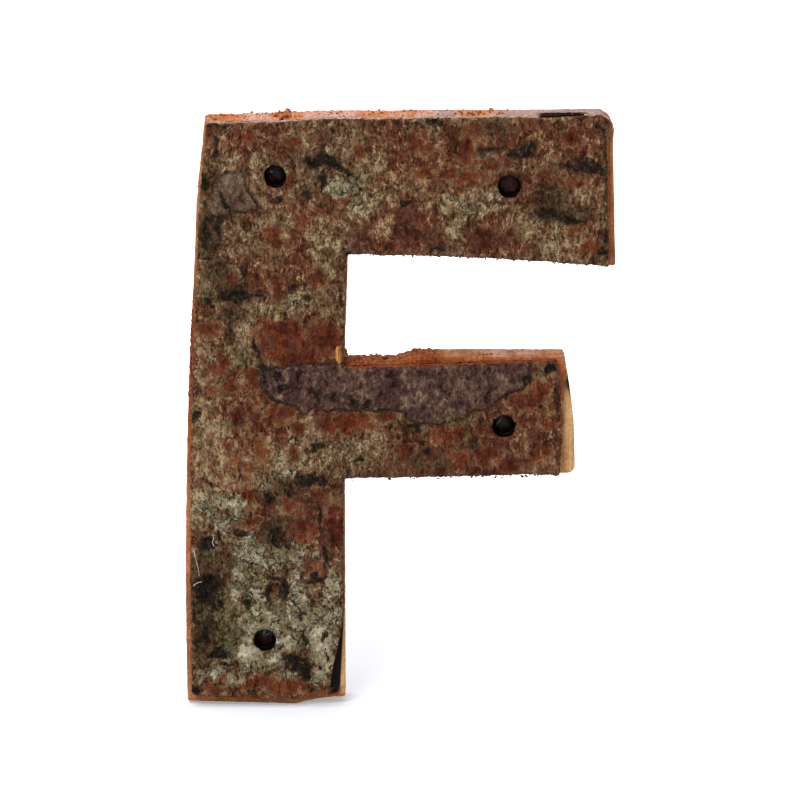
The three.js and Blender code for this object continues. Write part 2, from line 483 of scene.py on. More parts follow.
# The bark. Its patches are ellipses on the face: x, z, half width, half height and a turn in degrees
barkSettings = {
    "grain": 0.28,  # side of the mesh squares
    "outlineStep": 0.06,  # between the points of the outline that the squares are fitted to
    "edgeRagged": 0.13,
    "edgeTrim": 0.05,  # the ragged edge is drawn back by this much
    "holeRagged": 0.12,
    "edgeRound": 0.45,
    "wallRows": 6,
    "wallRough": 0.12,
    "skinStep": 0.32,
    "plateSink": 0.16,
    "charSink": 0.12,
    "crustLift": 0.12,
    # unevenness of the face: height, size, seed, octaves and what z is multiplied by
    "swells": [(0.16, 13, 41, 3, 1.0), (0.1, 4, 43, 3, 1.0), (0.08, 1.3, 47, 2, 0.6)],
    # the noise that makes ragged shapes of the patches, as bendPlaces takes it
    "patchBends": [(0.9, 0.9, 3.2, 11, 17, 3), (0.35, 0.35, 1.1, 13, 19, 2)],
    "skinBends": [(0.3, 0.3, 1.6, 23, 29, 3)],
    # how soft the edges of the patches are before they fray
    "softness": {
        "ruddy": 3.5, "rust": 1.3, "glow": 1.3, "plum": 1.8, "tan": 2.2, "fawn": 2.6,
        "lichen": 1.5, "char": 0.8, "cream": 0.9, "dusk": 2.4, "moss": 1.8,
    },
    "skinSoftness": 0.6,
    "taupeSoftness": 0.7,
    # where the edge stands out from the plain outline: x, z, reach and how far
    "edgeShifts": [
        (36, 59.8, 5, 0.5), (22, 59.8, 8, 0.45), (8, 59.8, 9, 0.5), (-12, 59.8, 11, 0.6),
        (40.2, 58.4, 1.5, 1.1), (-24, -58.6, 9, 0.3), (-38, -58, 7, 0.2), (-12.6, -53, 8, -0.4),
        (-40.5, 44, 9, 0.3), (12, 12, 22, 0.08), (31.3, 6, 4, 0.65), (31.5, 0, 5, 0.5),
        (31.6, -6.5, 5, 0.55), (31.9, -12, 1.5, 0.2),
    ],
    "topFrom": 55,  # above this z, what faces up is the top edge
    "gap": (32, 4.6),  # a gap in the top edge, painted near black as shade: x and half length
}

barkPatches = {
    # wide drifts of redder cork
    "ruddy": [
        (7, 51, 11, 6, 0), (-2, 55, 4, 4, 0), (-20.5, 14.5, 9, 5.5, 0), (-38, 13, 2.6, 5, 0),
        (-30, 2, 8, 6, 0), (-24, -2, 6, 4, 0), (-34, -9, 8, 6, 0), (15, -7.4, 19, 7, 0),
        (26, 2, 7, 8, 0), (-9, -2, 8, 3, 0), (-17, -22, 7, 9, 0), (-27, -21, 4, 4, 0),
        (-27, -56, 9, 2.4, 0), (-18, -31, 4, 2, 0), (-20, 41, 8, 3, 0), (-30, 55, 9, 3, 0),
        (31, 55, 10, 5, 0), (31, 47, 10, 4, 0), (0, 37, 9, 5, 0), (20, 36, 6, 4, 0), (-25, 28, 6, 3, 0),
        (14, 51, 9, 6, 0), (36, 36, 4, 4, 0), (-20, 33, 3, 4.5, 0),
    ],
    # red inner bark, where the outer plates have flaked away
    "rust": [
        (2.8, 55.2, 1.8, 3, 0), (-8, 53, 1.2, 2.4, 6), (4.6, 48.6, 2.5, 1.4, -10),
        (14, 47.9, 3.8, 1.5, 0), (9.4, 48.6, 3, 1.2, 0), (13.2, 53, 1.8, 3.2, 0),
        (14.4, 57.4, 2, 1.3, 0), (4.8, 55.2, 1.8, 3, 0), (35, 36.9, 1.9, 0.9, -8),
        (38.2, 33.6, 2.6, 1.4, 10), (-38, 44.5, 1.5, 1, 0), (-21.4, 47.4, 0.9, 1.8, 0),
        (-12, 43.5, 3, 0.9, 5), (-30, 56, 2.2, 1.6, 10), (-21, 55.4, 2, 1.4, 0), (34, 55.6, 2, 2.2, 0),
        (-25, 36, 1.2, 2.4, 0), (-19.6, 39.6, 1, 2, 0), (29, 48.4, 2.4, 1.1, 0), (35, 47.2, 2.4, 1, 0),
        (-24, 16.6, 5.6, 2.9, 0), (-21, 12.8, 7, 2.9, 0), (-15, 15.5, 3.4, 4.2, 0),
        (-38, 17.2, 2, 1.8, 0), (-36, 10.8, 2.6, 1.9, 0), (-33.5, 28, 1.4, 2, 0),
        (-24.5, 26, 1.1, 3.6, 4), (-16.4, 27.4, 1.4, 2.2, 0), (-33.8, 5.5, 2, 1.8, 0),
        (-28.6, 7, 1.5, 2.6, 0), (-28.8, 3.2, 1.6, 1.3, 0), (-32.2, -0.2, 1.4, 2, 8),
        (-28.9, -1.4, 1.8, 2.5, 0), (-23.6, 0.2, 2.9, 2.1, -12), (-20.4, -2.7, 1.3, 1.3, 0),
        (-37.6, 5.4, 1, 1.6, 0), (-34.3, -6.3, 1, 1.8, 8), (-27.6, -8, 1.1, 2.6, 0),
        (-21, -8, 0.9, 1.8, 0), (-31, -10.6, 1.6, 1.2, 0), (-9.6, -1.6, 4.4, 2.4, 4),
        (-14.7, -1.6, 2, 2.4, 10), (-2.2, -0.6, 2, 1.1, 0), (9.8, -4, 3.9, 1.9, 0),
        (25.5, 2.6, 4.4, 2.3, 5), (28, 5.8, 2, 1.7, 15), (1.4, -8, 2.4, 2.8, 0), (17.4, -8, 4, 2.2, 0),
        (27.6, -8.2, 2.6, 2.2, 0), (29.6, -1.4, 1.8, 2, 0), (11.5, -9.5, 3, 1.8, 0),
        (22.5, -10, 2.5, 1.5, 0), (-13, -22.5, 2, 4.6, 0), (-19.2, -24, 2.4, 3.4, 0),
        (-22, -18.2, 1.6, 2.2, 0), (-30, -22, 2.5, 1.3, 8), (-30.4, -17, 1.3, 2.4, 0),
        (-18.4, -31.4, 2.2, 1.4, 5), (-34, -31.2, 1, 0.7, 0), (-25, -35.8, 0.5, 2, 0),
        (-16, -16.5, 2.4, 1.6, 0), (-28.8, -55.2, 3.8, 1.8, 0), (-23, -56.5, 3.4, 1.9, 0),
        (-36, -54, 1.4, 0.8, 0), (-37.6, -56.6, 3, 1, 0), (-18.5, -56, 1.8, 1.2, 0),
        (-33, -56.8, 3, 1, 0), (-39, -46.5, 0.9, 1.4, 0),
    ],
    # the brightest of the red plates
    "glow": [
        (-9.8, -1.6, 3.2, 1.7, 4), (35, 36.9, 1.6, 0.7, -8), (38.4, 33.4, 1.8, 0.9, 10),
        (-38.4, 21.5, 1.5, 1, 0), (-34.4, -6, 0.9, 1.5, 8), (-28, -8, 0.7, 2, 0),
        (-34, -31.2, 0.9, 0.6, 0), (-23, -56.5, 1, 1, 0), (4.6, 48.8, 1.6, 0.9, 0),
        (-21.4, 47.4, 0.6, 1.4, 0), (27.8, 5.6, 1.5, 1.1, 0), (-23.6, 14, 1.3, 2.6, 0),
        (-12, 43.5, 2.4, 0.6, 5), (-24.9, -35.8, 0.5, 1.9, 0), (9.6, -3.8, 2.2, 1, 0),
        (-31, -11, 1.4, 1, 0), (-37.8, 44.4, 1, 0.6, 0), (-39.6, -9, 0.8, 3, 0), (14.4, 48.2, 2, 0.8, 0),
        (-33, -9, 1, 1.4, 0),
    ],
    # plum brown, smooth and dark
    "plum": [
        (-7.6, 36, 2.2, 2.6, 0), (0.8, 37.5, 2, 2.8, 0), (8, 34, 2.2, 1.3, 0), (6.4, 36.6, 1.8, 1.5, 0),
        (17, 35.5, 3, 1.8, 0), (22, 36.4, 1.7, 2, 0), (0, -12, 9, 0.9, 0), (18, -12, 12, 0.9, 0),
        (15, -6.4, 1.4, 1.2, 0), (6, -8, 1.3, 1.7, 0), (-29, -1.5, 1.2, 1.6, 0),
        (-32, -0.4, 0.9, 1.3, 0), (-20.4, -2.8, 0.9, 0.9, 0), (-26, 15, 1.2, 1.6, 0),
        (-21, 13, 1.1, 2, 0), (-15, 15, 1.6, 1.4, 0), (-30, -22, 1.6, 0.8, 8), (-34, -7.4, 0.9, 0.6, 0),
        (20, -6, 3, 1, 0), (28, -5, 2.4, 1.4, 0), (-17, -18.4, 4.4, 1.6, 0), (-20.4, -22.4, 2.4, 2, 0),
        (-14, -25.6, 2, 1.6, 0), (-33.8, 5.4, 0.9, 0.8, 0), (-28.6, 7.2, 0.8, 1.4, 0),
        (-23.4, 0.4, 1.3, 0.9, 0), (-37.6, 10.6, 1.2, 0.8, 0), (-38, 17, 0.9, 0.8, 0),
        (25, 2.4, 1.6, 1, 0), (17.4, -8.2, 1.6, 1, 0), (2, -8.6, 1.2, 1.4, 0), (-14.6, -1.4, 1, 1.2, 0),
        (3, 55, 0.9, 1.6, 0), (18, 58, 4, 0.9, 0), (13.2, 53, 0.9, 1.4, 0), (-16, -1.2, 1.6, 1.6, 0),
        (10, 56.4, 1.2, 1.4, 0), (22, 48, 2, 1, 0), (24, -9.8, 3, 1.2, 0), (10, -10.8, 3, 1, 0),
        (-18.4, -31.4, 1.2, 0.7, 0),
    ],
    # tan cork, thick with pale threads
    "tan": [
        (-3.8, 54, 1.4, 3.2, 0), (8, 55, 1.2, 3, 0), (13, 42.4, 5.4, 3, 0), (24, 38, 3, 2.6, 0),
        (34, 36, 4.2, 2, 0), (-16, 35, 2.2, 5, 0), (-12, 45.5, 3.2, 2.6, 0), (-8, 42.5, 2.6, 3, 0),
        (-31.5, 14.5, 2.3, 4.6, 5), (-27.6, 51.5, 2.6, 1.9, 0), (-38.5, 27, 1, 3.2, 0),
        (-21, 23, 1.8, 1.6, 0), (-8, -7.6, 6, 2.6, 0), (-3, -5, 1.5, 1.6, 0), (-35, -9.6, 6, 5, 0),
        (-22, -10, 5.6, 3, 0), (-29, -12, 6, 3, 0), (-24, 21, 4, 1.6, 0), (3, 46.5, 3, 1.4, 0),
        (-24, 39.6, 4, 2.2, 0), (30, 55.6, 3.8, 1.6, 0), (36, 44.6, 3, 2, 0), (33, 34, 3, 1.4, 0),
        (10.4, 37, 1.8, 3, 0), (-34.5, 53, 2.4, 1.8, 0), (-37, 13.4, 1.8, 1, 0), (-2.6, 37.6, 1.8, 2, 0),
        (30, 51, 4, 0.6, -10), (18, 45, 2, 1.4, 0), (-31.2, 5, 0.6, 3, 0), (-35, 3.4, 2, 0.7, 0),
        (-35, -2.4, 3, 1.2, 0), (-26, -1.6, 0.5, 2.4, 0), (-18.6, -2.2, 0.7, 2.6, 0),
        (24, -5.4, 1.6, 1, 0), (20, -8, 1.2, 0.8, 0), (-38, -17, 3, 3.4, 0),
    ],
    # lighter drifts over cork and red plates alike
    "fawn": [
        (-39, -4, 5, 7, 0), (-40, -20, 3, 3.6, 0), (-4, 48.6, 2.4, 3, 0), (-3.6, 37, 2.2, 3, 0),
        (28, 51.5, 2.4, 1.6, 0), (39, 39.6, 2, 1.4, 0), (-24, 43.5, 2, 1.6, 0), (-28, -54.8, 3, 1.4, 0),
        (24, 3, 2, 1.4, 0), (-40, 13, 1.5, 3, 0), (-20, 27.6, 2, 2, 0), (-8, 47.5, 2, 2, 0),
        (28, 7, 2, 1.4, 0), (-16, -17.6, 2.4, 1.6, 0), (-40, -13, 2.4, 2.6, 0),
    ],
    # pale crusts of lichen, which cover most of the foot, and five tiny painted highlights, glints on the
    # lacquer
    "lichen": [
        (-12.5, 45.6, 2.2, 1.5, 0), (-8, 43.4, 1.6, 3.2, 0), (18, 52.3, 1.1, 0.6, 0),
        (18, 44.6, 1, 0.7, 0), (13.6, 42, 1.4, 0.9, 0), (-34.4, 58.1, 1.1, 0.35, 0),
        (-21, 22.6, 1.6, 0.8, 0), (-20.6, -5.3, 1.3, 0.7, 0), (-23, -12.4, 2, 0.8, 0),
        (-10, -6, 2, 0.5, 0), (-37, 13.5, 1.2, 0.5, 0), (-28.4, -34, 2, 2, 0), (-20, -38, 2, 1.8, 0),
        (-8.4, 47.2, 2.4, 2.2, 0), (-33.5, -18.8, 2.2, 2.6, 0), (-38.6, -19.6, 1.6, 1.6, 0),
        (-26.5, -14.6, 0.9, 1.4, 0), (-37.4, -26, 0.45, 1.8, 0), (-30.4, -27.6, 3.2, 2.6, 0),
        (-29.6, -32, 3.6, 3.2, 0), (-32, -36, 1.8, 2.6, 0), (-28.6, -37.4, 1.6, 2.4, 0),
        (-22.2, -28.8, 3.6, 2.3, 0), (-17, -28.8, 1.6, 0.9, 0), (-13.2, -35.4, 1.8, 3, 0),
        (-20.8, -36, 1.6, 2.4, 0), (-35.4, -23, 1.2, 1.8, 0), (-20.6, -32.6, 1.6, 1, 0),
        (-24, -41.4, 7, 2.4, 0), (-15.4, -41.4, 3.6, 3, 0), (-31, -44, 1.7, 3.4, 0),
        (-30.8, -49.2, 2.4, 4.2, 0), (-15.6, -48.4, 2.9, 5.6, 0), (-22.4, -46, 2.4, 3, 0),
        (-25, -51.4, 2.6, 1.4, 0), (-34.6, -48.6, 1.6, 2.4, 0), (-37.4, -53, 3, 1.3, 0),
        (-33.2, -54.8, 1.6, 1.6, 0), (-40.4, -54.6, 1.2, 1.6, 0), (-16.6, -53.8, 2, 2.2, 0),
        (-29, -52.8, 3.4, 0.9, 0), (-22.6, -53.6, 1.6, 0.8, 0), (-19.4, -40.4, 5, 2, 0),
        (-36.4, -21.6, 1.2, 1, 0), (-25, -30.6, 1.4, 1.2, 0), (-14, -32.4, 1, 1.2, 0),
        # the five spots of 0.35 to 0.4 mm from (15.2, 5.3) to (-37.5, 11.8) are painted highlights: glints on
        # the lacquer
        (-27, -45, 4, 8, 0), (-20, -44, 7, 4.4, 0), (15.2, 5.3, 0.35, 0.35, 0),
        (29.9, -4.6, 0.4, 0.35, 0), (11.3, -11.2, 0.35, 0.35, 0), (-21.3, 20, 0.4, 0.4, 0),
        (-37.5, 11.8, 0.4, 0.4, 0), (-17, -13, 0.7, 0.5, 0),
    ],
    # black and dark green crusts
    "char": [
        (-16, 51.3, 3, 1.5, 4), (-13.4, 51, 2.6, 1.2, -18), (-25, 8, 1.2, 1.1, 0),
        (-23.4, 5.6, 1, 0.9, 0), (-11.4, 49.6, 1.2, 0.8, -30), (-15.2, 47, 0.8, 1.8, 0),
        (-9.4, 3, 1.3, 0.8, 0), (-6.6, 2.4, 0.9, 0.6, 0), (-10, 49, 0.8, 0.6, 0),
        (-36.5, 53.6, 0.5, 2.4, 0), (-39, 47, 1, 1.5, 0), (-38.4, 37.6, 0.7, 2.6, 0),
        (-36, 36.4, 0.6, 3, 6), (-34.4, 43, 0.4, 2.8, 30), (-18.5, 45, 0.9, 0.5, 0),
        (-24.5, 43.5, 0.9, 0.5, 0), (-23.4, 39.6, 0.7, 0.5, 0), (-35.4, 58.2, 2.4, 0.35, 5),
        (7, 59, 2, 0.7, 0), (3, 58.2, 1.2, 0.4, 0), (17.5, 53.3, 2.5, 0.6, 0), (24, 53, 2.5, 1.2, 12),
        (25.6, 54.3, 1, 1, 0), (36.6, 49.7, 4.6, 0.7, -5), (37.6, 51, 1.2, 1, 0),
        (39.6, 49.5, 1.4, 1, 0), (29, 40.9, 2.4, 0.8, -10), (34.2, 39.6, 3.4, 0.8, -6),
        (40.6, 36, 0.6, 2.2, 0), (40, 32.8, 1, 0.8, 0), (1.2, 43, 1.2, 0.9, 0), (7.4, 33, 1.8, 0.5, 0),
        (-9.4, 32.2, 1.7, 0.8, 5), (-38.6, 31.4, 1.2, 0.6, 0), (-32.5, 23.8, 3.6, 1.2, 0),
        (-28, 23.5, 1.5, 0.5, 0), (-37.8, 23, 0.7, 0.7, 0), (-19, 24, 0.8, 0.6, 0),
        (-21, 25.2, 0.7, 0.5, 0), (-31.2, 28, 0.35, 1.8, 0), (-33.8, 16.8, 0.4, 2, 6),
        (-28, 12.4, 0.5, 2.6, 20), (-27, 9.3, 1.4, 0.7, 0), (-40.6, 0, 0.5, 1.5, 0),
        (-16.5, -6.3, 1.5, 1, -10), (-18, -13.5, 2.4, 1, 0), (-15.2, -13.2, 0.8, 1, 0),
        (-8, -8.5, 0.5, 1.5, -20), (3, -2.6, 1.2, 0.8, 0), (30, 8.8, 0.9, 1, 0), (25, 7.4, 1.2, 0.8, 0),
        (5.6, -8, 0.9, 1.2, 0), (15, -5, 0.8, 1, 0), (-26, -17.3, 1.3, 1.2, 0),
        (-22.3, -16.2, 0.7, 0.5, 0), (-24.7, -25, 1.9, 2.3, 0), (-16, -21, 0.5, 3.2, 0),
        (-14.5, -29, 0.7, 1.8, 0), (-31.5, -24.5, 1.1, 0.7, 0), (-38.6, -26.4, 1.2, 1.6, 0),
        (-36, -25, 0.6, 1.6, 0), (-17.5, -34, 2.2, 1.1, 0), (-26, -36, 0.6, 2.5, 0),
        (-23.4, -35.8, 0.9, 2.7, 0), (-31, -39.3, 1, 0.7, 0), (-25, -33.2, 1.7, 0.5, 0),
        (41, 52, 0.3, 4, 0), (41, 42.6, 0.35, 3, 0), (39.9, 57.8, 1.3, 0.5, -45),
        (-39.2, -35.6, 1.9, 3.2, 0), (-36.8, -39.4, 1.4, 1.4, 0), (-39.4, -46, 1, 2, 0),
        (-36.6, -49.2, 1.8, 1.2, 0), (-41.2, -41, 0.6, 8, 0), (-22.4, -49.8, 1.4, 0.4, 0),
        (-20.5, -51.5, 2.3, 1.9, 0), (-19.4, -53.8, 0.9, 1, 0), (-19.3, -46, 0.4, 3.2, 6),
        (-15, -45.8, 0.6, 1.2, 0), (-14.7, -49.5, 0.3, 0.8, 0), (-16.3, -51.4, 0.4, 0.35, 0),
        (-35.2, -51.4, 1.4, 0.4, 12), (-41.4, -57.1, 1.2, 0.4, -8), (-18, -57, 0.9, 0.5, 0),
        (-11.4, -21.6, 0.4, 2.6, 0), (-11.6, 24, 0.35, 1.6, 0), (31.4, 3, 0.3, 3, 0),
        (41, 46, 0.3, 2, 0), (-27.6, 6.4, 0.5, 2.4, -15), (-26.2, 4.2, 0.4, 1.6, 35),
        (-23.6, 2.7, 1.8, 0.35, -15), (-20.6, -13.4, 0.8, 0.5, 0), (-27.2, 9.6, 1.4, 0.9, -20),
    ],
    # smooth cream places in the lichen, without dark lines
    "cream": [
        (-15.6, -48.6, 2.3, 5.4, 0), (-30.6, -48.8, 1.8, 3.2, 0), (-31, -42.4, 1.3, 2, 0),
        (-26.6, -50.4, 2.2, 1.4, 0), (-22.8, -46.4, 1.4, 2.2, 0), (-33.2, -18.6, 1, 1.2, 0),
        (-27, -41.8, 1.4, 1, 0),
    ],
    # wide soft darkness, olive at the foot
    "dusk": [
        (-39, -37, 3.2, 7, 0), (-39.4, -46, 2.6, 6, 0), (30, 44.2, 4, 3.2, 0), (-38.6, -28, 2.2, 3.4, 0),
        (-24, -21.4, 2, 1.6, 0), (8, -9.4, 2, 1.8, 0), (-38.4, 36, 2.6, 4, 0), (-39.6, 54, 1, 3.4, 0),
        (-33.6, 25, 4, 2.4, 0), (-15.4, 50.8, 3.8, 1.6, 0), (34, 50.3, 6, 1.4, 0), (33, 40.4, 6, 1.8, 0),
        (-34.6, -30, 2.4, 2, 0), (8, -1, 5, 1.2, 0), (-20.5, -51, 2.6, 2.2, 0), (14, -6, 2.4, 2, 0),
        (-37, -40, 3, 9, 0), (-36, 29, 3, 2.4, 0), (-34, 20.6, 3, 1.6, 0), (-25, -24.4, 3, 3, 0),
        (-22, -15, 4, 1.6, 0), (4, -9.6, 2, 1.6, 0), (-39, 46.6, 1.6, 2.4, 0),
    ],
    "moss": [
        (-34.4, -43, 2.6, 8, 0), (-33.6, -40.6, 2, 2.4, 0), (-36.4, -30, 2, 1.8, 0),
        (9.6, -1.2, 3.4, 1.5, 0), (27.6, 8.6, 1.8, 1.1, 0), (-34.6, -2.4, 2.6, 1, 0),
        (-27.5, 10.4, 0.8, 0.7, 0), (13, 46.5, 3, 0.5, 0), (-38.6, 27, 0.7, 3, 0),
        (-16.4, 51.4, 3, 1, 0), (-33, 24, 3, 1, 0), (-31, 12, 1.6, 2, 0),
    ],
}

# The strip of old smooth skin along the middle arm, and a greyer one at the upper arm's left end
oldSkin = [
    (-28, 10), (-25, 9.5), (-20, 10.2), (-11, 10.6), (-10, 13), (26, 13), (26, 7), (24.5, 5.5),
    (22, 4.5), (20, 3.5), (19, 2), (17, 1.2), (14, 0.5), (13, -0.5), (8, -2), (6, -1.8), (3, -1.5),
    (1.5, -0.5), (1, 0.7), (-4, 0.9), (-10, 0.9), (-12, 1.3), (-14, 0.7), (-16, 1), (-17.5, 1.2),
    (-18.5, 0.3), (-19.5, 0), (-20.5, 1.5), (-22.5, 2.2), (-25, 3), (-26.5, 4.5), (-27.8, 6), (-27, 8.5),
]
greySkin = [
    (-36, 48.5), (-31, 49), (-30.5, 46), (-28.5, 43), (-28, 41.5), (-32, 41), (-36, 40), (-38, 41),
    (-38.5, 43), (-37, 45),
]


# How far points lie inside any of the ellipses, as 0 outside, 1 inside and between within the soft edge
def ellipseCover(patches, x, z, soft):
    best = np.full_like(x, -9.0)  # well outside
    for px, pz, halfWidth, halfHeight, turn in patches:
        c, s = math.cos(math.radians(turn)), math.sin(math.radians(turn))
        dx = (x - px) * c + (z - pz) * s
        dz = (z - pz) * c - (x - px) * s
        reach = 1 - np.hypot(dx / halfWidth, dz / halfHeight)
        best = np.maximum(best, reach * min(halfWidth, halfHeight))
    return np.clip(0.5 + best / (2 * soft), 0, 1)


def polygonCover(polygon, x, z, soft):
    corners = np.array(polygon, float)
    distance = np.full_like(x, 1e3)  # farther than any edge
    inside = np.zeros(len(x), bool)
    for a, b in zip(corners, np.roll(corners, -1, axis=0)):
        edge = b - a
        t = np.clip(((x - a[0]) * edge[0] + (z - a[1]) * edge[1]) / (edge @ edge), 0, 1)
        distance = np.minimum(distance, np.hypot(x - a[0] - t * edge[0], z - a[1] - t * edge[1]))
        if a[1] != b[1]:
            crosses = (a[1] <= z) != (b[1] <= z)
            inside ^= crosses & (x < a[0] + (z - a[1]) / edge[1] * edge[0])
    return np.clip(0.5 + np.where(inside, distance, -distance) / (2 * soft), 0, 1)


# How much of each patch covers a point. Noise bends the ellipses into ragged shapes.
def barkCover(x, z, s):
    bent = bendPlaces(x, z, s["patchBends"])
    cover = {name: ellipseCover(barkPatches[name], *bent, soft) for name, soft in s["softness"].items()}
    bent = bendPlaces(x, z, s["skinBends"])
    cover["skin"] = polygonCover(oldSkin, *bent, s["skinSoftness"])
    cover["taupe"] = polygonCover(greySkin, *bent, s["taupeSoftness"])
    return cover


def barkHeight(x, z, cover, s):
    height = np.zeros_like(x)
    for tall, size, seed, octaves, stretch in s["swells"]:
        height += tall * cloud(x, z * stretch, size, seed, octaves)
    lumps = 0.6 + 1.2 * cloud(x, z, 1.1, 53, 2)
    height += s["skinStep"] * softStep(np.maximum(cover["skin"], cover["taupe"]), 0.35, 0.65)
    height -= s["plateSink"] * softStep(cover["rust"], 0.4, 0.7)
    height += s["crustLift"] * softStep(cover["lichen"], 0.4, 0.7) * lumps
    height -= s["charSink"] * softStep(cover["char"], 0.4, 0.8)
    return height


def makeBark(s):
    loops = []
    for loop in frontLoops("bark_face"):
        even, out = evenLoop(loop, s["outlineStep"])
        ragged = cloud(*even.T, 3.5, 61) * 0.6 + cloud(*even.T, 0.8, 67)
        if len(loops) == 0:
            shift = ragged * s["edgeRagged"] - s["edgeTrim"] + edgeShift(even, s["edgeShifts"])
        else:
            shift = ragged * s["holeRagged"]
        loops.append(even + out * shift[:, None])
    flat, squares, borders = fillSheet(loops, s["grain"])
    x, z = flat.T
    cover = barkCover(x, z, s)
    height = barkHeight(x, z, cover, s)
    edge = edgeDistance(flat, [i for border in borders for i in border])
    worn = 0.6 + 0.5 * cloud(x, z, 2.2, 71)
    height -= s["edgeRound"] * worn * np.clip(1 - edge / s["edgeRound"], 0, 1) ** 2
    face, back = (corner[1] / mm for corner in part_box("bark_face"))
    draft = MeshDraft(np.stack([x, face - height, z], axis=1), squares.tolist())
    walls = {name: [np.zeros(len(x))] for name in ("cut", "holeAndGapShade", "pinkCut")}
    for border in borders:
        rim = flat[border]
        out = loopNormals(rim, 2)
        front = (face - height)[border]
        if border is borders[0]:
            atTop = rim[:, 1] > s["topFrom"]
            # the bark's wall at this gap and the walls of its holes are painted near black as shade
            middle, half = s["gap"]
            gap = softStep(-abs(rim[:, 0] - middle), -half, 0.4 - half) * atTop
            wall = {"cut": np.ones(len(rim)), "holeAndGapShade": gap, "pinkCut": atTop * softStep(out[:, 1], 0.2, 0.6)}
        else:
            wall = {"cut": np.zeros(len(rim)), "holeAndGapShade": np.ones(len(rim)), "pinkCut": np.zeros(len(rim))}
        ring = border
        for row in range(1, s["wallRows"] + 1):
            share = row / s["wallRows"]
            depth = front + (back - front) * share
            rough = s["wallRough"] * cloud(rim[:, 0] + rim[:, 1], depth * 1.5, 0.9, 73) * (share < 1)
            points = rim + out * rough[:, None]
            ring = draft.addRing(ring, np.stack([points[:, 0], depth, points[:, 1]], axis=1))
            for name, values in wall.items():
                walls[name].append(values)
        border[:] = ring
    draft.addBack(borders)
    bark = draft.build("bark_sheet")
    for name, values in cover.items():
        setAttribute(bark, name, np.concatenate([values, np.zeros(draft.count - len(values))]))
    for name, values in walls.items():
        setAttribute(bark, name, np.concatenate(values))
    print("bark:", len(bark.data.polygons), "faces")
    return bark


# Bark of an old tree, split off and thinly lacquered. The eye sees flakes of brown, rust and tan cork with
# pale rims, red plates, a strip of plum-brown skin, cream crusts with dark curls, and black smears.
barkColours = {
    "cork": [(0.12, "#24150c"), (0.27, "#462c1b"), (0.5, "#6d5138"), (0.73, "#907858"), (0.92, "#b5a37b")],
    "ruddy": [(0.12, "#220e08"), (0.27, "#431f13"), (0.5, "#643826"), (0.73, "#84563d"), (0.92, "#b0906a")],
    "rust": [(0.12, "#220b06"), (0.27, "#451b10"), (0.5, "#65301e"), (0.73, "#814a30"), (0.92, "#a67f58")],
    "glow": [(0.2, "#461c0f"), (0.5, "#6f341a"), (0.8, "#94552f")],
    "plum": [(0.2, "#230d09"), (0.5, "#432018"), (0.8, "#673e2e")],
    "skin": [(0.12, "#1a100f"), (0.27, "#3a2621"), (0.5, "#563c35"), (0.73, "#775c4b"), (0.92, "#978262")],
    "taupe": [(0.12, "#271c13"), (0.3, "#4a3729"), (0.55, "#665040"), (0.85, "#8c7a62")],
    "lichen": [(0.12, "#2c2115"), (0.27, "#63543a"), (0.5, "#948665"), (0.73, "#b7ab8b"), (0.92, "#d3cbb0")],
    "dusk": [(0.2, "#171209"), (0.5, "#33291a"), (0.8, "#66563b")],
    "moss": [(0.2, "#201b0f"), (0.5, "#484226"), (0.8, "#837a54")],
    "char": [(0.15, "#0b0807"), (0.42, "#1d1712"), (0.66, "#33291e"), (0.9, "#5f5039")],
    "cut": [(0.25, "#5a2411"), (0.5, "#8f4421"), (0.75, "#b5643a")],
    "pinkCut": [(0.25, "#7d5b4e"), (0.5, "#a98a7d"), (0.75, "#d2bdb3")],
    # near black: painted shade on the walls of the holes and of the gap in the top edge
    "holeAndGapShade": [(0.25, "#0a0706"), (0.5, "#180e0b"), (0.75, "#2a1812")],
    # colour of a patch's rim, how wide it is as a share of the patch's soft edge, and how strong
    # the dark rims of taupe and skin are painted shade along the step of the raised skin
    "rims": {"rust": ("#9c8a60", 0.18, 0.4), "taupe": ("#1f160f", 0.45, 0.9), "skin": ("#1a120e", 0.5, 0.9)},
    # near black for the cracks and creases: the fissures' own dark, and partly painted shade within them
    "crack": "#15100a",
    "crease": "#1c110a",
}


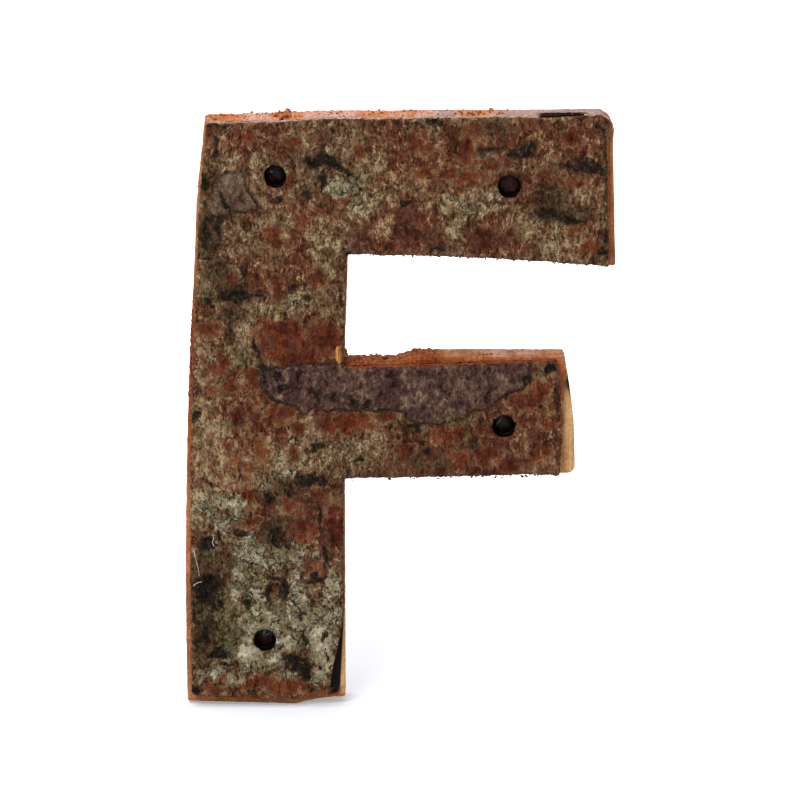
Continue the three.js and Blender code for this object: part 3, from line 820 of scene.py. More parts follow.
def barkMaterial(c):
    material, tree = newMaterial("lacquered_tree_bark")
    # size in mm of each pattern, its stretch up the trunk, its octaves and its curl
    patterns = {
        "broad": (6.0, 1.2, 2, 0.4),
        "hue": (2.6, 1.3, 2, 0.5),
        "middle": (1.5, 1.4, 2, 0.5),
        "fine": (0.6, 1.2, 1, 0.3),
        "stroke": (0.44, 1.9, 1, 1.0),
        "curl": (1.7, 1.1, 1, 1.6),
        "crease": (1.4, 1.9, 1, 1.0),
    }
    sized = {name: ((p[0], p[0], p[0] * p[1]), *p[2:]) for name, p in patterns.items()}
    inMm, noises = addPatterns(tree, sized, 7.3)
    mixtures = {
        "cork": {"broad": 0.4, "hue": 0.6, "middle": 0.9, "fine": 0.7, "stroke": 0.7},
        "crust": {"broad": 0.5, "middle": 1.0, "fine": 0.6, "stroke": 0.2},
        "plate": {"broad": 0.7, "hue": 0.8, "middle": 0.9, "fine": 0.4, "stroke": 0.4},
        "skin": {"broad": 0.5, "hue": 1.0, "middle": 1.2, "fine": 0.6, "stroke": 0.5},
        "grit": {"broad": 0.5, "middle": 0.9, "fine": 1.0, "stroke": 0.6},
        "fray": {"hue": 0.5, "middle": 0.6, "fine": 0.3, "stroke": 0.6},
    }
    blends = {name: blendPatterns(tree, noises, shares) for name, shares in mixtures.items()}

    # each patch's cover, frayed by noise, as a ragged mask; and a band along the edge of some
    masks, bands = {}, {}
    for name, fray, low, high, most in (
        ("ruddy", 1.0, 0.1, 0.9, 1.0), ("rust", 1.1, 0.36, 0.56, 0.92), ("glow", 1.4, 0.35, 0.85, 0.7),
        ("plum", 1.4, 0.3, 0.8, 0.75), ("tan", 1.2, 0.2, 0.8, 1.0), ("fawn", 1.0, 0.2, 0.8, 1.0),
        ("lichen", 1.3, 0.4, 0.58, 0.95), ("char", 1.2, 0.38, 0.58, 1.0), ("dusk", 1.5, 0.35, 0.8, 0.8),
        ("moss", 1.5, 0.4, 0.8, 0.7), ("skin", 0.3, 0.44, 0.54, 1.0), ("taupe", 0.8, 0.38, 0.62, 0.85),
        ("cream", 0.8, 0.3, 0.7, 1.0), ("cut", 0.0, 0.05, 0.5, 1.0), ("pinkCut", 0.0, 0.3, 0.7, 1.0),
        ("holeAndGapShade", 0.0, 0.05, 0.5, 1.0),
    ):
        cover = addNode(tree, "ShaderNodeAttribute", {"attribute_name": name}, {})
        offset = addNode(
            tree, "ShaderNodeMath", {"operation": "MULTIPLY_ADD"}, {0: blends["fray"], 1: fray, 2: -fray / 2}
        )
        ragged = addNode(
            tree, "ShaderNodeMath", {"operation": "ADD"}, {0: cover.outputs["Fac"], 1: offset.outputs[0]}
        )
        masks[name] = addNode(
            tree, "ShaderNodeMapRange", {"interpolation_type": "SMOOTHSTEP"},
            {"Value": ragged.outputs[0], "From Min": low, "From Max": high, "To Max": most},
        ).outputs[0]
        if name not in c["rims"]:
            continue
        off = addNode(
            tree, "ShaderNodeMath", {"operation": "SUBTRACT"}, {0: ragged.outputs[0], 1: (low + high) / 2}
        )
        apart = addNode(tree, "ShaderNodeMath", {"operation": "ABSOLUTE"}, {0: off.outputs[0]})
        width = c["rims"][name][1]
        bands[name] = addNode(
            tree, "ShaderNodeMapRange", {"interpolation_type": "SMOOTHSTEP"},
            {"Value": apart.outputs[0], "From Min": 0.05, "From Max": width, "To Min": 1.0, "To Max": 0.0},
        ).outputs[0]

    # flakes of cork and cells of crust: bent outlines, and each cell has a tone of its own
    sway = addNode(tree, "ShaderNodeTexNoise", {}, {"Vector": inMm, "Scale": 1 / 1.7, "Detail": 2.0})
    cells, away = {}, {}
    for name, size, stretch, bend in (("flake", 2.3, 1.25, 2.4), ("areole", 2.1, 1.0, 2.8)):
        bent = addNode(
            tree, "ShaderNodeVectorMath", {"operation": "MULTIPLY_ADD"},
            {0: sway.outputs["Color"], 1: (bend, bend, bend), 2: inMm},
        )
        placed = addNode(
            tree, "ShaderNodeMapping", {},
            {"Vector": bent.outputs[0], "Scale": (1 / size, 1 / size, 1 / (size * stretch))},
        )
        cell = addNode(tree, "ShaderNodeTexVoronoi", {}, {"Vector": placed.outputs[0], "Scale": 1.0})
        cells[name] = addNode(tree, "ShaderNodeSeparateColor", {}, {"Color": cell.outputs["Color"]}).outputs
        away[name] = addNode(
            tree, "ShaderNodeTexVoronoi", {"feature": "DISTANCE_TO_EDGE"},
            {"Vector": placed.outputs[0], "Scale": 1.0},
        ).outputs[0]
    for name in ("curl", "crease"):  # how far these noises are from their middle value
        off = addNode(tree, "ShaderNodeMath", {"operation": "SUBTRACT"}, {0: noises[name], 1: 0.5})
        apart = addNode(tree, "ShaderNodeMath", {"operation": "ABSOLUTE"}, {0: off.outputs[0]})
        away[name] = apart.outputs[0]

    # thin lines along those outlines and middle values, broken by another noise
    lines = {}
    for name, width, breaks, opens in (
        ("flake", 0.11, "middle", 0.44), ("areole", 0.18, "middle", 0.44), ("curl", 0.06, "hue", 0.44),
        ("crease", 0.055, "hue", 0.38),
    ):
        line = addNode(
            tree, "ShaderNodeMapRange", {"interpolation_type": "SMOOTHSTEP"},
            {"Value": away[name], "From Min": 0.01, "From Max": width, "To Min": 1.0, "To Max": 0.0},
        )
        gaps = addNode(
            tree, "ShaderNodeMapRange", {},
            {"Value": noises[breaks], "From Min": opens, "From Max": opens + 0.16},
        )
        lines[name] = addNode(
            tree, "ShaderNodeMath", {"operation": "MULTIPLY"}, {0: line.outputs[0], 1: gaps.outputs[0]}
        ).outputs[0]
    squiggles = addNode(
        tree, "ShaderNodeMath", {"operation": "MAXIMUM"}, {0: lines["areole"], 1: lines["curl"]}
    ).outputs[0]
    smooth = addNode(tree, "ShaderNodeMath", {"operation": "MULTIPLY"}, {0: squiggles, 1: masks["cream"]})
    squiggles = addNode(
        tree, "ShaderNodeMath", {"operation": "SUBTRACT"}, {0: squiggles, 1: smooth.outputs[0]}
    ).outputs[0]

    # red cork lies among the brown everywhere, and mostly red in the ruddy drifts
    redness = noises["hue"]
    for part, share in ((masks["ruddy"], 0.3), (masks["tan"], -0.16), (noises["stroke"], 0.3)):
        redness = addNode(
            tree, "ShaderNodeMath", {"operation": "MULTIPLY_ADD"}, {0: part, 1: share, 2: redness}
        ).outputs[0]
    masks["ruddy"] = addNode(
        tree, "ShaderNodeMapRange", {"interpolation_type": "SMOOTHSTEP"},
        {"Value": redness, "From Min": 0.6, "From Max": 0.88},
    ).outputs[0]
    # how each tone departs from its blend: the cell's own tone, pale threads, tan and fawn drifts, dusk
    tones = {name: blends["plate"] for name in ("glow", "plum", "taupe")}
    tones |= {name: blends["grit"] for name in ("dusk", "moss", "char", "cut", "pinkCut", "holeAndGapShade")}
    tones["skin"] = blends["skin"]
    drifts = ((masks["tan"], 0.15), (masks["fawn"], 0.17), (masks["dusk"], -0.1))
    for name, tone, parts in (
        ("cork", blends["cork"], ((cells["flake"][0], 0.14), (lines["flake"], 0.28), *drifts)),
        ("ruddy", blends["plate"], ((cells["flake"][0], 0.14), (lines["flake"], 0.28), *drifts)),
        ("rust", blends["plate"], ((cells["flake"][0], 0.14), (lines["flake"], 0.16), (masks["fawn"], 0.17))),
        ("lichen", blends["crust"], ((cells["areole"][0], 0.4), (masks["cream"], 0.12))),
    ):
        tone = addNode(
            tree, "ShaderNodeMath", {"operation": "SUBTRACT"}, {0: tone, 1: parts[0][1] / 2}
        ).outputs[0]
        for part, share in parts:
            tone = addNode(
                tree, "ShaderNodeMath", {"operation": "MULTIPLY_ADD"}, {0: part, 1: share, 2: tone}
            ).outputs[0]
        tones[name] = tone
    shades = {}
    for name, tone in tones.items():
        ramp = addNode(tree, "ShaderNodeValToRGB", {}, {"Fac": tone})
        setStops(ramp, c[name])
        shades[name] = ramp.outputs[0]

    # dark cracks and curls in the crust: the crust's own dark, and partly painted shade in the cracks
    shades["lichen"] = addNode(
        tree, "ShaderNodeMix", {"data_type": "RGBA"},
        {0: squiggles, 6: shades["lichen"], 7: linearColour(c["crack"])},
    ).outputs[2]
    colour = shades["cork"]
    for name in (
        "ruddy", "rust", "glow", "plum", "lichen", "dusk", "taupe", "skin", "moss", "char",
        "cut", "pinkCut", "holeAndGapShade",
    ):
        colour = addNode(
            tree, "ShaderNodeMix", {"data_type": "RGBA"}, {0: masks[name], 6: colour, 7: shades[name]}
        ).outputs[2]
        if name == "ruddy":  # dark creases run through the cork, their near black partly painted shade, and the patches then cover them
            creased = addNode(
                tree, "ShaderNodeMath", {"operation": "MULTIPLY"}, {0: lines["crease"], 1: 0.65}
            )
            colour = addNode(
                tree, "ShaderNodeMix", {"data_type": "RGBA"},
                {0: creased.outputs[0], 6: colour, 7: linearColour(c["crease"])},
            ).outputs[2]
        if name in c["rims"]:  # pale rims round the red plates; dark ones round the skins, painted shade along the step of their raised edge
            partly = addNode(
                tree, "ShaderNodeMapRange", {},
                {"Value": noises["middle"], "From Min": 0.36, "From Max": 0.58, "To Max": c["rims"][name][2]},
            )
            edge = addNode(
                tree, "ShaderNodeMath", {"operation": "MULTIPLY"}, {0: bands[name], 1: partly.outputs[0]}
            )
            colour = addNode(
                tree, "ShaderNodeMix", {"data_type": "RGBA"},
                {0: edge.outputs[0], 6: colour, 7: linearColour(c["rims"][name][0])},
            ).outputs[2]

    relief = blends["cork"]
    for part, share in (
        (cells["flake"][0], 0.2), (lines["flake"], 0.2), (lines["crease"], -0.4), (squiggles, -0.25),
    ):
        relief = addNode(
            tree, "ShaderNodeMath", {"operation": "MULTIPLY_ADD"}, {0: part, 1: share, 2: relief}
        ).outputs[0]
    bump = addNode(tree, "ShaderNodeBump", {}, {"Height": relief, "Distance": 0.5 * mm, "Strength": 1.0})
    gloss = addNode(
        tree, "ShaderNodeMapRange", {}, {"Value": blends["plate"], "To Min": 0.4, "To Max": 0.7}
    )
    # no shine where the shade is painted
    shine = addNode(tree, "ShaderNodeMapRange", {}, {"Value": masks["holeAndGapShade"], "To Min": 0.035, "To Max": 0.0})
    surface = addNode(
        tree, "ShaderNodeBsdfPrincipled", {},
        {
            "Base Color": colour,
            "Roughness": gloss.outputs[0],
            "Normal": bump.outputs[0],
            "Specular IOR Level": shine.outputs[0],
        },
    )
    addNode(tree, "ShaderNodeOutputMaterial", {}, {"Surface": surface.outputs[0]})
    return material


bark = makeBark(barkSettings)
bark.data.materials.append(barkMaterial(barkColours))
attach(bark, "root")
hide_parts("bark_face")


# The board: sawn to the letter's outline, its front hidden under the bark but for a narrow rim
boardSettings = {
    "grain": 0.42,
    "outlineStep": 0.08,
    "edgeWavy": 0.05,
    "edgeTrim": 0.04,
    "wallRows": 22,
    "sawRidge": 0.07,
    "tornRidge": 0.28,
    "bevel": 0.3,
    "backTurn": 0.96,  # the share of the depth where the edge of the back starts to be broken
    "bastDepth": 0.7,  # the red layer under the bark
    "bastReach": ((-11, 31), (5, 30)),  # it shows between these x and these z, on the middle arm
    "gapDepth": 4.2,  # how deep the painted shade reaches into the wood behind the bark
    "tornBelow": 55,  # the top edge is torn in shape, but not in colour
    "headSeat": -7.4,
    "pilotRadius": 1.05,
    "pilotEnd": -2.8,
    "pointEnd": -1.45,
    "patchBends": [(0.7, 0.4, 3, 91, 93, 3)],
    "softness": 1.2,
    # as on the bark
    "edgeShifts": [
        (-14, 60, 12, 0.4), (7, 60, 10, 0.22), (42, 58, 2, 0.35), (41, 58.6, 1.3, 0.35),
        (-41, 44, 9, 0.35),
    ],
}

# places on the outline: x, z, half width, half height and a turn, as on the bark
boardPatches = {
    "pale": [
        (36, -3, 3.6, 13, 0), (-10.6, -51, 2.4, 9, 0), (-30, -60.2, 8, 0.8, 0), (-18, -60.2, 5, 0.8, 0),
        (32.4, -10, 1, 3, 0),
    ],
    "flush": [(-18, 60, 22, 2, 0), (12, 60.4, 14, 1.6, 0), (22, 12.4, 10, 1.2, 0)],
    "orange": [
        (-22.6, 60.2, 3.4, 1.2, 0), (-4, 60.2, 4.2, 1, 0), (15.6, 60.4, 3.2, 1.2, 0), (-35, 59.6, 4, 1, 0),
        (2, 60.4, 1.6, 1, 0), (-40, -59.6, 4, 1.6, 0), (42.6, 44, 1.4, 14, 0), (-4, 10, 8, 3, 0),
        (-43, -28, 1.6, 9, 0), (-42, 8, 1.6, 12, 0), (31.8, 9, 0.9, 3, 0), (32, -3, 0.35, 9, -3),
        (-24, -59.4, 14, 0.7, 2),
    ],
    "grey": [(9, 60.4, 2.6, 1.2, 0), (31, 60.6, 12, 2, 0)],
    # near-black painted shade in the gaps along the bark: at the top, by the foot and at the middle arm's end
    "paintedWoodShade": [(32, 60.6, 4.8, 2.6, 0), (-13, -57.8, 1.1, 1, 0), (34.1, 6, 0.9, 2, 0)],
    "torn": [(-3, 10, 8.6, 3, 0), (-28, 60, 13, 2, 0), (-42.5, 20, 1.4, 30, 0), (5.5, 10.6, 3, 2, 0)],
}


def makeBoard(s):
    loops = []
    for loop in frontLoops("backing_board"):
        even, out = evenLoop(loop, s["outlineStep"])
        if len(loops) == 0:
            shift = s["edgeWavy"] * cloud(*even.T, 2.4, 81) - s["edgeTrim"]
            even = even + out * (shift + edgeShift(even, s["edgeShifts"]))[:, None]
        loops.append(even)
    flat, squares, borders = fillSheet(loops, s["grain"])
    x, z = flat.T
    front, back = (corner[1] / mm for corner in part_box("backing_board"))
    fall = np.clip(1 - edgeDistance(flat, borders[0]) / s["bevel"], 0, 1) ** 2
    depth = front + s["bevel"] * fall * (0.6 + 0.5 * cloud(x, z, 1.5, 83)).clip(0, 1)
    draft = MeshDraft(np.stack([x, depth, z], axis=1), squares.tolist())
    rims = [flat]
    levels = [depth]
    holeAndGapShade = [np.zeros(len(x))]
    outer = borders[0]
    rim = flat[outer]
    out = loopNormals(rim, 2)
    run = np.concatenate([[0], np.cumsum(np.hypot(*np.diff(rim, axis=0).T))])
    torn = softStep(ellipseCover(boardPatches["torn"], *rim.T, 1.5), 0.3, 0.7)
    ring = outer
    for row in range(1, s["wallRows"] + 1):
        share = row / s["wallRows"]
        level = depth[outer] + (back - depth[outer]) * share
        saw = s["sawRidge"] * cloud(run, level * 0.15, 0.8, 87, 2)
        tear = s["tornRidge"] * torn * (cloud(run, level * 0.8, 1.1, 89) - 0.15)
        grown = math.sin(math.pi * min(1, share * 6) / 2)  # the ridges start flat at the front
        turned = s["bevel"] * max(0, (share - s["backTurn"]) / (1 - s["backTurn"]))
        points = rim + out * ((saw + tear) * grown - turned)[:, None]
        ring = draft.addRing(ring, np.stack([points[:, 0], level, points[:, 1]], axis=1))
        rims.append(rim)
        levels.append(level)
        holeAndGapShade.append(np.zeros(len(rim)))
    draft.addBack([ring])
    for border in borders[1:]:
        holeAndGapShade[0][border] = 1  # the rims of the holes get the painted shade of their walls
        hole = flat[border]
        middle = hole.mean(axis=0)
        radius = np.hypot(*(hole - middle).T).mean()
        narrow = s["pilotRadius"] / radius
        ring = border
        for share, bottom in ((1, s["headSeat"]), (narrow, s["headSeat"]), (narrow, s["pilotEnd"])):
            points = middle + (hole - middle) * share
            level = np.full(len(hole), bottom)
            ring = draft.addRing(ring, np.stack([points[:, 0], level, points[:, 1]], axis=1))
            rims.append(hole)
            levels.append(level)
            holeAndGapShade.append(np.ones(len(hole)))
        draft.addTip(ring, (middle[0], s["pointEnd"], middle[1]))
        rims.append(middle[None])
        levels.append(np.array([s["pointEnd"]]))
        holeAndGapShade.append(np.ones(1))
    board = draft.build("sawn_board")
    x, z = np.vstack(rims).T
    bent = bendPlaces(x, z, s["patchBends"])
    cover = {name: ellipseCover(patches, *bent, s["softness"]) for name, patches in boardPatches.items()}
    behindBark = np.concatenate(levels) - front
    # painted shade, near black, in the gaps along the bark and in the holes
    cover["paintedWoodShade"] *= behindBark < s["gapDepth"]
    cover["paintedWoodShade"] = np.maximum(cover["paintedWoodShade"], np.concatenate(holeAndGapShade))
    cover["torn"] *= z < s["tornBelow"]
    nearBark = softStep(-behindBark, -s["bastDepth"], -0.3)
    (left, right), (low, high) = s["bastReach"]
    cover["bast"] = nearBark * (z < high) * (z > low) * (x > left) * (x < right)
    beforeBack = np.concatenate(levels) < back - 0.1  # the back itself is plain sawn wood
    for name, values in cover.items():
        setAttribute(board, name, values * beforeBack)
    print("board:", len(board.data.polygons), "faces")
    return board


# Sawn softwood with the bark's red inner layer left at its edges. The eye sees orange-tan end grain with
# saw marks across it, darker and crumbling where the blade tore it. The holes and the gaps along the bark
# are painted near black as shade.
woodColours = {
    "sawn": [(0.3, "#7a4226"), (0.45, "#9c6239"), (0.58, "#b97e53"), (0.75, "#d3a072")],
    "pale": [(0.3, "#b98049"), (0.5, "#dba76f"), (0.7, "#edc799")],
    "flush": [(0.3, "#94604b"), (0.5, "#c08f79"), (0.7, "#d8b3a1")],
    "orange": [(0.3, "#84401f"), (0.5, "#b66a38"), (0.7, "#d69a6c")],
    "grey": [(0.3, "#6f554d"), (0.5, "#98796f"), (0.7, "#bca197")],
    "bast": [(0.3, "#7a3619"), (0.5, "#a75d2d"), (0.7, "#c88354")],
    "torn": [(0.3, "#421a0c"), (0.46, "#7f3a18"), (0.6, "#b05f2b"), (0.75, "#cf8c55")],
    # near black, for the painted shade in the gaps and holes
    "paintedWoodShade": [(0.3, "#0f0c0b"), (0.6, "#2a211d"), (0.8, "#4b3c35")],
}


def woodMaterial(c):
    material, tree = newMaterial("sawn_softwood")
    # size in mm across the grain and how far it runs up the trunk; the saw marks run through the thickness
    patterns = {
        "fibre": ((0.45, 0.45, 16.0), 3, 0.2),
        "ring": ((6.0, 1.8, 30.0), 3, 0.6),
        "saw": ((0.7, 9.0, 0.7), 2, 0.0),
        "speck": ((0.5, 0.5, 0.5), 3, 0.3),
        "stain": ((5.0, 3.0, 5.0), 4, 0.4),
    }
    _, noises = addPatterns(tree, patterns, 5.1)
    shares = {"fibre": 0.45, "ring": 0.4, "saw": 0.4, "speck": 0.4, "stain": 0.4}
    tone = blendPatterns(tree, noises, shares)
    colour = None
    for name in ("sawn", "pale", "flush", "orange", "grey", "bast", "torn", "paintedWoodShade"):
        ramp = addNode(tree, "ShaderNodeValToRGB", {}, {"Fac": tone})
        setStops(ramp, c[name])
        if colour is None:
            colour = ramp.outputs[0]
            continue
        cover = addNode(tree, "ShaderNodeAttribute", {"attribute_name": name}, {})
        frayed = addNode(
            tree, "ShaderNodeMath", {"operation": "MULTIPLY_ADD"},
            {0: noises["stain"], 1: 0.8, 2: cover.outputs["Fac"]},
        )
        mask = addNode(
            tree, "ShaderNodeMapRange", {"interpolation_type": "SMOOTHSTEP"},
            {"Value": frayed.outputs[0], "From Min": 0.65, "From Max": 1.1},
        )
        colour = addNode(
            tree, "ShaderNodeMix", {"data_type": "RGBA"}, {0: mask.outputs[0], 6: colour, 7: ramp.outputs[0]}
        ).outputs[2]
    relief = addNode(
        tree, "ShaderNodeMath", {"operation": "MULTIPLY_ADD"}, {0: noises["speck"], 1: 0.6, 2: tone}
    )
    bump = addNode(
        tree, "ShaderNodeBump", {}, {"Height": relief.outputs[0], "Distance": 0.3 * mm, "Strength": 0.7}
    )
    shine = addNode(  # the places of painted shade, whose mask is the last, have none
        tree, "ShaderNodeMapRange", {}, {"Value": mask.outputs[0], "To Min": 0.2, "To Max": 0.0}
    )
    surface = addNode(
        tree, "ShaderNodeBsdfPrincipled", {},
        {
            "Base Color": colour,
            "Roughness": 0.75,
            "Normal": bump.outputs[0],
            "Specular IOR Level": shine.outputs[0],
        },
    )
    addNode(tree, "ShaderNodeOutputMaterial", {}, {"Surface": surface.outputs[0]})
    return material


board = makeBoard(boardSettings)
sawnWood = woodMaterial(woodColours)
board.data.materials.append(sawnWood)
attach(board, "root")
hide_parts("backing_board")

# The glue film keeps its solid. It shows as a black strip where a sliver of bark is missing by the foot:
# dried glue, nearly black, with a dull shine and small pits.
glueColours = {"deep": "#0b0809", "worn": "#1c1617"}


def glueMaterial(c):
    material, tree = newMaterial("dried_glue")
    where = addNode(tree, "ShaderNodeTexCoord", {}, {})
    pits = addNode(
        tree, "ShaderNodeTexNoise", {},
        {"Vector": where.outputs["Object"], "Scale": 1000 / 0.9, "Detail": 3.0, "Roughness": 0.6},
    )
    colour = addNode(
        tree, "ShaderNodeMix", {"data_type": "RGBA"},
        {0: pits.outputs[0], 6: linearColour(c["deep"]), 7: linearColour(c["worn"])},
    )
    bump = addNode(
        tree, "ShaderNodeBump", {}, {"Height": pits.outputs[0], "Distance": 0.2 * mm, "Strength": 0.5}
    )
    surface = addNode(
        tree, "ShaderNodeBsdfPrincipled", {},
        {
            "Base Color": colour.outputs[2],
            "Roughness": 0.5,
            "Specular IOR Level": 0.08,
            "Normal": bump.outputs[0],
        },
    )
    addNode(tree, "ShaderNodeOutputMaterial", {}, {"Surface": surface.outputs[0]})
    return material


driedGlue = glueMaterial(glueColours)
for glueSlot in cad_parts["glue_film"].material_slots:
    glueSlot.material = driedGlue
print("glue coloured")

# Four short nails, driven below the bark. Their heads are domed, hammered and rusty.
nailSettings = {
    "headRadius": 1.95,
    "headSeat": boardSettings["headSeat"],
    "headThick": 0.7,
    "dome": 0.35,
    "domeRings": (0.12, 0.24, 0.36, 0.48, 0.6, 0.7, 0.8, 0.89, 0.96),  # as shares of the radius
    "shoulder": 0.1,  # from the dome down to the rim
    "underRound": 0.12,  # at the head's lower edge
    "neck": (0.1, 0.15),  # how much wider the shank is under the head, and for how far
    "shankRadius": 0.9,
    "shankEnd": -2.8,
    "pointEnd": -1.6,
    "segments": 48,
    "dent": 0.07,
    # how brown each head is, and where a highlight is painted on it: ellipses from the middle of the head
    "heads": {
        "nail_upper_left": (0.0, [(-0.85, 0.45, 0.3, 0.2, -40)]),
        "nail_upper_right": (0.24, []),
        "nail_middle_arm": (0.02, [(-0.8, 0.3, 0.12, 0.8, -35)]),
        "nail_stem_foot": (0.12, [(-0.1, 0.9, 0.22, 0.7, -25), (0.5, 0.3, 0.5, 0.1, 20)]),
    },
}


def makeNail(node, seed, s):
    low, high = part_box(node)
    middle = ((low[0] + high[0]) / 2 / mm, (low[2] + high[2]) / 2 / mm)
    angle = np.arange(s["segments"]) * 2 * math.pi / s["segments"]
    head, seat, under, shank = s["headRadius"], s["headSeat"], s["underRound"], s["shankRadius"]
    wider, neckLong = s["neck"]
    rimLevel = seat - s["headThick"]
    profile = [(share * head, rimLevel - s["dome"] * (1 - share ** 2)) for share in s["domeRings"]]
    profile += [(head, rimLevel + s["shoulder"]), (head - under / 4, seat - under / 2), (head - under, seat)]
    profile += [(shank + wider, seat), (shank, seat + neckLong), (shank, s["shankEnd"])]
    rings = []
    for radius, level in profile:
        x = middle[0] + radius * np.cos(angle)
        z = middle[1] - radius * np.sin(angle)
        dents = s["dent"] * cloud(x, z, 0.9, seed, 2) * (level < rimLevel)
        rings.append(np.stack([x, level + dents, z], axis=1))
    draft = MeshDraft(rings[0], [])
    ring = list(range(s["segments"]))
    draft.addTip(ring[::-1], (middle[0], rimLevel - s["dome"], middle[1]))
    for points in rings[1:]:
        ring = draft.addRing(ring, points)
    draft.addTip(ring, (middle[0], s["pointEnd"], middle[1]))
    nail = draft.build(node.replace("nail_", "rusty_nail_"))
    brown, glintSpots = s["heads"][node]
    x, y, z = np.vstack(draft.points).T
    # painted highlights on the top of the head, where the lamps' glints would be
    paintedGlint = ellipseCover(glintSpots, x - middle[0], z - middle[1], 0.12) * (y < rimLevel)
    setAttribute(nail, "paintedGlint", paintedGlint)
    setAttribute(nail, "brown", np.full(len(x), brown))
    return nail


# Mild steel gone brown: dark oxide with orange-brown bloom, and small painted highlights in a pale steel grey
nailColours = [(0.3, "#070506"), (0.48, "#140c0b"), (0.62, "#2a1714"), (0.78, "#4a2c25")]
glintColour = "#868d98"


def nailMaterial(c):
    material, tree = newMaterial("rusted_mild_steel")
    where = addNode(tree, "ShaderNodeTexCoord", {}, {})
    bloom = addNode(
        tree, "ShaderNodeTexNoise", {},
        {"Vector": where.outputs["Object"], "Scale": 1000 / 0.8, "Detail": 4.0, "Roughness": 0.65},
    )
    brown = addNode(tree, "ShaderNodeAttribute", {"attribute_name": "brown"}, {})
    paintedGlint = addNode(tree, "ShaderNodeAttribute", {"attribute_name": "paintedGlint"}, {})
    rusted = addNode(
        tree, "ShaderNodeMath", {"operation": "ADD"}, {0: bloom.outputs[0], 1: brown.outputs["Fac"]}
    )
    ramp = addNode(tree, "ShaderNodeValToRGB", {}, {"Fac": rusted.outputs[0]})
    setStops(ramp, c)
    # the painted highlights take the pale steel grey
    colour = addNode(
        tree, "ShaderNodeMix", {"data_type": "RGBA"},
        {0: paintedGlint.outputs["Fac"], 6: ramp.outputs[0], 7: linearColour(glintColour)},
    )
    dull = addNode(
        tree, "ShaderNodeMapRange", {},
        {"Value": bloom.outputs[0], "From Min": 0.3, "To Min": 0.35, "To Max": 0.75},
    )
    bump = addNode(
        tree, "ShaderNodeBump", {}, {"Height": bloom.outputs[0], "Distance": 0.1 * mm, "Strength": 0.6}
    )
    surface = addNode(
        tree, "ShaderNodeBsdfPrincipled", {},
        {
            "Base Color": colour.outputs[2],
            "Roughness": dull.outputs[0],
            "Specular IOR Level": 0.15,
            "Normal": bump.outputs[0],
        },
    )
    addNode(tree, "ShaderNodeOutputMaterial", {}, {"Surface": surface.outputs[0]})
    return material


rustedSteel = nailMaterial(nailColours)
nailNodes = ("nail_upper_left", "nail_upper_right", "nail_middle_arm", "nail_stem_foot")
for seed, node in enumerate(nailNodes):
    nail = makeNail(node, 101 + seed, nailSettings)
    nail.data.materials.append(rustedSteel)
    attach(nail, "root")
    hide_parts(node)
print("nails driven:", len(nailNodes))

# Crumbs of sawdust that cling to the sawn edges, scattered by nodes over narrow strips of the outline
crumbSettings = {
    "size": 0.27,  # half width of a middling crumb
    "perSquareCm": 34.0,
    "seed": 7,
    "stripStep": 0.8,
    "levelFrom": 0.7,  # an edge counts as facing up or down from this much of its way out
    # the upright edges have few crumbs, left of the first x, and right of the second below a z
    "leftOf": -38,
    "rightOf": (40, 45),
    "sideShare": 0.05,
    "sideBulk": 0.7,
    # part of the edge: lowest and highest x and z, whether it faces up, how many crumbs and how big
    "places": [
        (-11, 7, 0, 20, True, 1.4, 0.9), (7, 32, 0, 20, True, 0.25, 0.6),
        (-24.4, -21, 50, 65, True, 3.0, 1.5), (-42, 2, 50, 65, True, 0.9, 0.8),
        (12.4, 21, 50, 65, True, 1.8, 1.0), (2, 22, 50, 65, True, 0.8, 0.75),
        (22, 41, 50, 65, True, 0.15, 0.6), (-10, 32, -20, 0, False, 3.2, 0.5),
        (-10, 42, 25, 40, False, 1.2, 0.5),
    ],
}


def crumbStrips(s):
    even, out = evenLoop(frontLoops("backing_board")[0], s["stripStep"])
    even = even + out * edgeShift(even, boardSettings["edgeShifts"])[:, None]
    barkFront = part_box("bark_face")[0][1] / mm
    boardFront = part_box("backing_board")[0][1] / mm
    points, faces, shares, bulks = [], [], [], []
    for i in range(len(even)):
        j = (i + 1) % len(even)
        up = out[i][1]
        x, z = even[i]
        if abs(up) > s["levelFrom"]:
            near, far = (boardFront + 0.2, -0.8) if up > 0 else (barkFront + 0.5, boardFront)
            found = [p for p in s["places"] if p[0] < x < p[1] and p[2] < z < p[3] and p[4] == (up > 0)]
            if not found:
                continue
            share, bulk = found[0][5:]
        elif x < s["leftOf"] or (x > s["rightOf"][0] and z < s["rightOf"][1]):
            near, far = barkFront + 0.8, boardFront + 1
            share, bulk = s["sideShare"], s["sideBulk"]
        else:
            continue
        first = len(points)
        corners = [(even[i], near), (even[j], near), (even[j], far), (even[i], far)]
        points += [(p[0] * mm, y * mm, p[1] * mm) for p, y in corners]
        faces.append((first, first + 1, first + 2, first + 3))
        shares += [share] * 4
        bulks += [bulk] * 4
    mesh = bpy.data.meshes.new("crumb_strips")
    mesh.from_pydata(points, [], faces)
    strips = bpy.data.objects.new("sawdust_crumbs", mesh)
    scene.collection.objects.link(strips)
    setAttribute(strips, "share", shares)
    setAttribute(strips, "bulk", bulks)
    return strips


